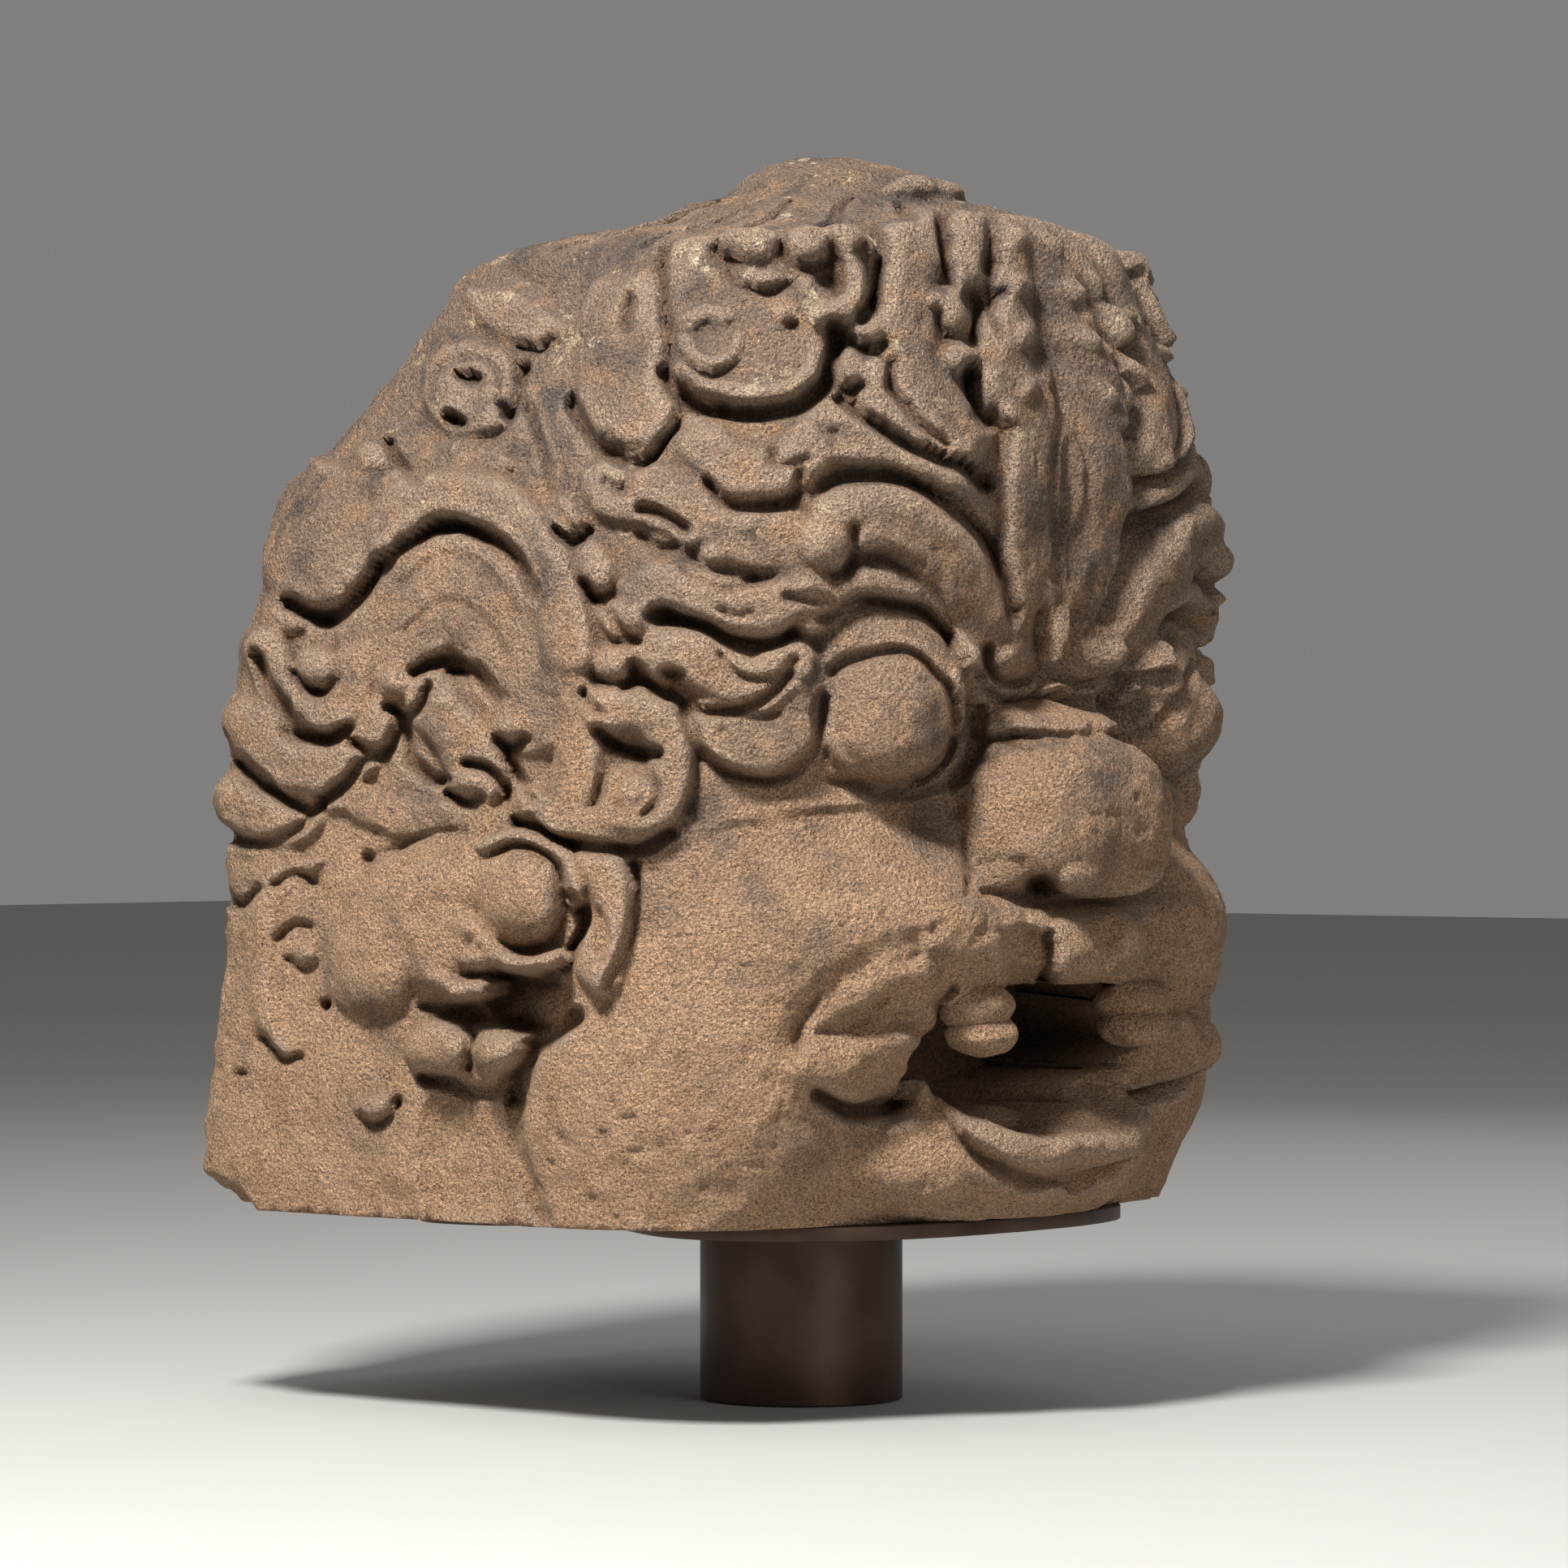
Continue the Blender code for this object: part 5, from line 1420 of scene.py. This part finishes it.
@dataclass(frozen=True)
class StoneFinish:
    """Weathered volcanic stone: warm low down, greyer on the crown, darker in hollows with dirt and painted
    shade, worn on the edges.
    """

    name: str = "weathered_volcanic_stone"
    low: Colour = colour(0.56, 0.35, 0.21)
    high: Colour = colour(0.275, 0.188, 0.132)
    stain: Colour = colour(0.115, 0.092, 0.079)
    ochre: Colour = colour(0.53, 0.305, 0.155)
    # Dirt and painted shade: the dark brown laid into hollows and into the inside of the mouth
    dirt_and_painted_shade: Colour = colour(0.150, 0.085, 0.050)
    worn: Colour = colour(0.56, 0.40, 0.28)
    lichen: Colour = colour(0.78, 0.62, 0.40)
    crystal: Colour = colour(0.055, 0.048, 0.046)
    roughness: float = 0.93
    specular: float = 0.22
    bump_depth: float = 0.0021

    def material(self) -> bpy.types.Material:
        """Wires the finish: colour from height, patches and hollows, bump from grain, pits and crumbs."""
        material, nodes, shader = new_material(self.name)
        place = nodes.add("ShaderNodeTexCoord").outputs["Object"]
        hollow = nodes.add("ShaderNodeAttribute", attribute_name="hollow").outputs["Fac"]
        coarse = mottle(nodes, place, 11.0, 480.0)
        fine = mottle(nodes, place, 42.0, 1300.0)
        height = nodes.add("ShaderNodeSeparateXYZ", {"Vector": place}).outputs["Z"]
        swayed = nodes.math("ADD", height, nodes.span(coarse["Patches"], 0.0, 1.0, -0.09, 0.09))
        base = nodes.mix(nodes.span(swayed, 0.30, 0.70), self.low, self.high)
        base = nodes.mix(nodes.span(fine["Patches"], 0.5, 1.0, 0.0, 0.5), base, self.ochre)
        grey = nodes.noise(place, 19.0, 8.0, 0.65)
        upper = nodes.span(swayed, 0.25, 0.62, 0.25, 0.85)
        grey = nodes.math("MULTIPLY", nodes.span(grey, 0.50, 0.64), upper)
        base = nodes.mix(grey, base, self.stain)
        base = nodes.mix(nodes.span(hollow, -0.6, -3.2, 0.0, 0.55), base, self.worn)
        # Dirt and painted shade: the deeper a point lies under the evened surface, the more of the dark
        # brown it takes, and the mouth's inside takes the most
        base = nodes.mix(nodes.span(hollow, 1.5, 8.0, 0.0, 0.7), base, self.dirt_and_painted_shade)
        spots = nodes.noise(place, 34.0, 9.0, 0.72)
        topmost = nodes.span(height, 0.52, 0.80, 0.0, 0.8)
        spots = nodes.math("MULTIPLY", nodes.span(spots, 0.595, 0.635), topmost)
        base = nodes.mix(spots, base, self.lichen)
        crystals = nodes.noise(place, 760.0, 2.0, 0.6)
        crowd = nodes.span(fine["Patches"], 0.0, 1.0, 0.45, 1.0)
        crystals = nodes.math("MULTIPLY", nodes.span(crystals, 0.57, 0.62, 0.0, 0.8), crowd)
        base = nodes.mix(crystals, base, self.crystal)
        dark = nodes.span(coarse["Specks"], 0.0, 1.0, 0.58, 1.36)
        darker = nodes.span(fine["Specks"], 0.0, 1.0, 0.50, 1.36)
        shade = nodes.math("MULTIPLY", dark, darker)
        grey_shade = nodes.add("ShaderNodeCombineColor", {0: shade, 1: shade, 2: shade}).outputs[0]
        base = nodes.mix(1.0, base, grey_shade, "MULTIPLY")
        relief = nodes.math("MULTIPLY", coarse["Height"], 2.2)
        relief = nodes.math("ADD", relief, fine["Height"])
        pits = nodes.add("ShaderNodeTexVoronoi", {"Vector": place, "Scale": 210.0})
        relief = nodes.math("ADD", relief, nodes.span(pits.outputs["Distance"], 0.0, 0.45, -1.5, 0.0))
        crumbs = nodes.noise(place, 150.0, 6.0, 0.68)
        relief = nodes.math("ADD", relief, nodes.math("MULTIPLY", crumbs, 5.0))
        bump = nodes.add("ShaderNodeBump", {"Height": relief, "Strength": 1.0, "Distance": self.bump_depth})
        nodes.tree.links.new(base, shader.inputs["Base Color"])
        nodes.tree.links.new(bump.outputs["Normal"], shader.inputs["Normal"])
        shader.inputs["Roughness"].default_value = self.roughness
        shader.inputs["Specular IOR Level"].default_value = self.specular
        return material


@dataclass(frozen=True)
class SteelFinish:
    """Dark brown patinated steel with a satin sheen, rubbed a little in patches."""

    name: str = "bronzed_steel"
    dark: Colour = colour(0.032, 0.019, 0.013)
    rubbed: Colour = colour(0.105, 0.064, 0.044)
    metallic: float = 0.75

    def material(self) -> bpy.types.Material:
        """Wires the finish: colour and roughness from patches, bump from a fine grain."""
        material, nodes, shader = new_material(self.name)
        place = nodes.add("ShaderNodeTexCoord").outputs["Object"]
        shown = mottle(nodes, place, 16.0, 1100.0)
        patches, specks = shown["Patches"], shown["Specks"]
        base = nodes.mix(nodes.span(patches, 0.0, 1.0, 0.15, 0.75), self.dark, self.rubbed)
        nodes.tree.links.new(base, shader.inputs["Base Color"])
        dulled = nodes.span(patches, 0.0, 1.0, 0.40, 0.50)
        rough = nodes.math("ADD", dulled, nodes.span(specks, 0.0, 1.0, -0.03, 0.03))
        nodes.tree.links.new(rough, shader.inputs["Roughness"])
        sockets = {"Height": shown["Height"], "Strength": 0.12, "Distance": 0.0004}
        bump = nodes.add("ShaderNodeBump", sockets)
        nodes.tree.links.new(bump.outputs["Normal"], shader.inputs["Normal"])
        shader.inputs["Metallic"].default_value = self.metallic
        return material


@dataclass(frozen=True)
class Cradle:
    """The lobed plate under the stone and the round post that it stands on."""

    plate_node: str = "cradle_plate"
    post_node: str = "support_post"
    slot: str = "bronzed_steel"
    post_sides: int = 160
    break_edge: float = 0.0012
    ring_shares: tuple[float, ...] = (0.04, 0.4, 0.8)
    sharp_angle: float = math.radians(40.0)
    plate_half: tuple[Point, ...] = (
        (0, -196), (80, -190), (150, -165), (196, -110), (200, -50), (170, 10), (142, 48),
        (150, 84), (186, 120), (190, 180), (140, 222), (60, 232), (0, 230),
    )

    def turned(self, outline: Array, low: float, high: float) -> tuple[Array, Array]:
        """A slab over an outline: rings that step in by the broken edge at both ends, then smaller rings.

        Args:
            outline: Counter-clockwise outline in metres.
            low: Lowest height.
            high: Highest height.

        Returns:
            Points and faces.
        """
        inward = np.roll(outline, 1, axis=0) - np.roll(outline, -1, axis=0)
        inward = np.stack([inward[:, 1], -inward[:, 0]], axis=1)
        inward /= np.linalg.norm(inward, axis=1)[:, None]
        edge = self.break_edge
        middle = outline.mean(axis=0)
        rings = []
        for share in self.ring_shares:
            rings.append((middle + (outline - middle) * share, low))
        steps = np.linspace(0.0, math.pi / 2.0, 5)
        for t in steps:
            rings.append((outline + inward * edge * (1.0 - math.sin(t)), low + edge * (1.0 - math.cos(t))))
        for t in steps:
            rings.append((outline + inward * edge * (1.0 - math.cos(t)), high - edge * (1.0 - math.sin(t))))
        for share in reversed(self.ring_shares):
            rings.append((middle + (outline - middle) * share, high))
        points = np.vstack([np.column_stack([ring, np.full(len(ring), z)]) for ring, z in rings])
        return points, grid_faces(len(rings), len(outline))

    def close(self, piece: bpy.types.Object) -> bpy.types.Object:
        """Closes the small rings left at the two poles."""
        cells = bmesh.new()
        cells.from_mesh(piece.data)
        bmesh.ops.holes_fill(cells, edges=[e for e in cells.edges if e.is_boundary])
        bmesh.ops.recalc_face_normals(cells, faces=cells.faces)
        cells.to_mesh(piece.data)
        cells.free()
        piece.data.shade_smooth()
        piece.data.set_sharp_from_angle(angle=self.sharp_angle)
        return piece

    def build(self) -> list[bpy.types.Object]:
        """Makes the plate and the post where the frame has them, and dresses both."""
        finish = SteelFinish().material()
        low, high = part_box(self.post_node)
        angles = np.linspace(0.0, 2.0 * math.pi, self.post_sides, endpoint=False)
        round_outline = np.stack([np.cos(angles), np.sin(angles)], axis=1) * (high.x - low.x) / 2.0
        post = self.close(new_piece("bronzed_post", *self.turned(round_outline, low.z, high.z)))
        low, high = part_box(self.plate_node)
        half = smooth_line(self.plate_half, 10)
        outline = np.vstack([half, half[-2:0:-1] * np.array([-1.0, 1.0])]) * MM
        plate = self.close(new_piece("bronzed_cradle_plate", *self.turned(outline, low.z, high.z)))
        for piece, node in ((post, self.post_node), (plate, self.plate_node)):
            piece.data.materials.append(finish)
            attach(piece, BODY)
            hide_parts(node)
            LOG.info("%s: %d faces", piece.name, len(piece.data.polygons))
        return [post, plate]


@dataclass(frozen=True)
class Lamp:
    """A square soft light that faces the head, by its direction in degrees, distance, side and power."""

    name: str
    azimuth: float
    elevation: float
    reach: float
    size: float
    power: float


@dataclass(frozen=True)
class Studio:
    """Pale floor, soft lights and the camera, a little to the lion's right at the height of its jaw."""

    lens: float = 149.6
    sensor: float = 36.0
    distance: float = 4.54
    eye_height: float = 0.4274
    side_step: float = -0.012
    azimuth: float = math.radians(-50.0)
    head_middle: float = 0.45
    lamps: tuple[Lamp, ...] = (
        Lamp("key", -72.0, 45.0, 2.8, 0.5, 186.0),
        Lamp("front_fill", -15.0, 12.0, 4.0, 2.2, 38.0),
        Lamp("top", -90.0, 76.0, 2.8, 1.4, 16.0),
        Lamp("back_fill", 110.0, 30.0, 3.6, 2.4, 22.0),
    )
    room_colour: Colour = colour(0.62, 0.61, 0.60)
    room_strength: float = 0.35
    floor_half: float = 14.0
    floor_gap: float = 0.0006
    floor_colour: Colour = colour(0.38, 0.37, 0.35)
    floor_roughness: float = 0.8

    def towards(self, azimuth: float, elevation: float) -> Vector:
        """Unit vector from the object to a viewer at an azimuth and elevation in degrees."""
        a, e = math.radians(azimuth), math.radians(elevation)
        return Vector((math.sin(a) * math.cos(e), -math.cos(a) * math.cos(e), math.sin(e)))

    def camera(self) -> None:
        """Sets the camera level, square to the carving's sheet."""
        data = bpy.data.cameras.new("camera")
        data.lens = self.lens
        data.sensor_width = self.sensor
        camera = bpy.data.objects.new("camera", data)
        bpy.context.scene.collection.objects.link(camera)
        back = self.towards(math.degrees(self.azimuth), 0.0)
        right = Vector((math.cos(self.azimuth), math.sin(self.azimuth), 0.0))
        camera.location = back * self.distance + right * self.side_step
        camera.location += Vector((0.0, 0.0, self.eye_height))
        camera.rotation_euler = back.to_track_quat("Z", "Y").to_euler()
        bpy.context.scene.camera = camera

    def light(self, lamp: Lamp) -> None:
        """Hangs a lamp so that it faces the head's middle."""
        data = bpy.data.lights.new(lamp.name, "AREA")
        data.size = lamp.size
        data.energy = lamp.power
        hung = bpy.data.objects.new(lamp.name, data)
        bpy.context.scene.collection.objects.link(hung)
        back = self.towards(lamp.azimuth, lamp.elevation)
        hung.location = back * lamp.reach + Vector((0.0, 0.0, self.head_middle))
        hung.rotation_euler = back.to_track_quat("Z", "Y").to_euler()

    def floor(self) -> None:
        """A wide pale floor at the foot of the post."""
        h = self.floor_half
        g = self.floor_gap
        corners = np.array([(-h, -h, -g), (h, -h, -g), (h, h, -g), (-h, h, -g)])
        piece = new_piece("studio_floor", corners, np.array([[0, 1, 2, 3]]))
        material, _, shader = new_material("pale_floor")
        shader.inputs["Base Color"].default_value = self.floor_colour
        shader.inputs["Roughness"].default_value = self.floor_roughness
        piece.data.materials.append(material)

    def build(self) -> None:
        """Makes the studio."""
        self.camera()
        self.floor()
        for lamp in self.lamps:
            self.light(lamp)
        world = bpy.data.worlds.new("studio")
        world.use_nodes = True
        back = world.node_tree.nodes["Background"]
        back.inputs["Color"].default_value = self.room_colour
        back.inputs["Strength"].default_value = self.room_strength
        bpy.context.scene.world = world
        bpy.context.scene.view_settings.view_transform = "Standard"


def main() -> None:
    """Builds the head, the cradle and the studio, in that order."""
    logging.basicConfig(level=logging.INFO, format="%(name)s: %(message)s")
    LionHead().build()
    Cradle().build()
    Studio().build()


if __name__ == "__main__":
    main()
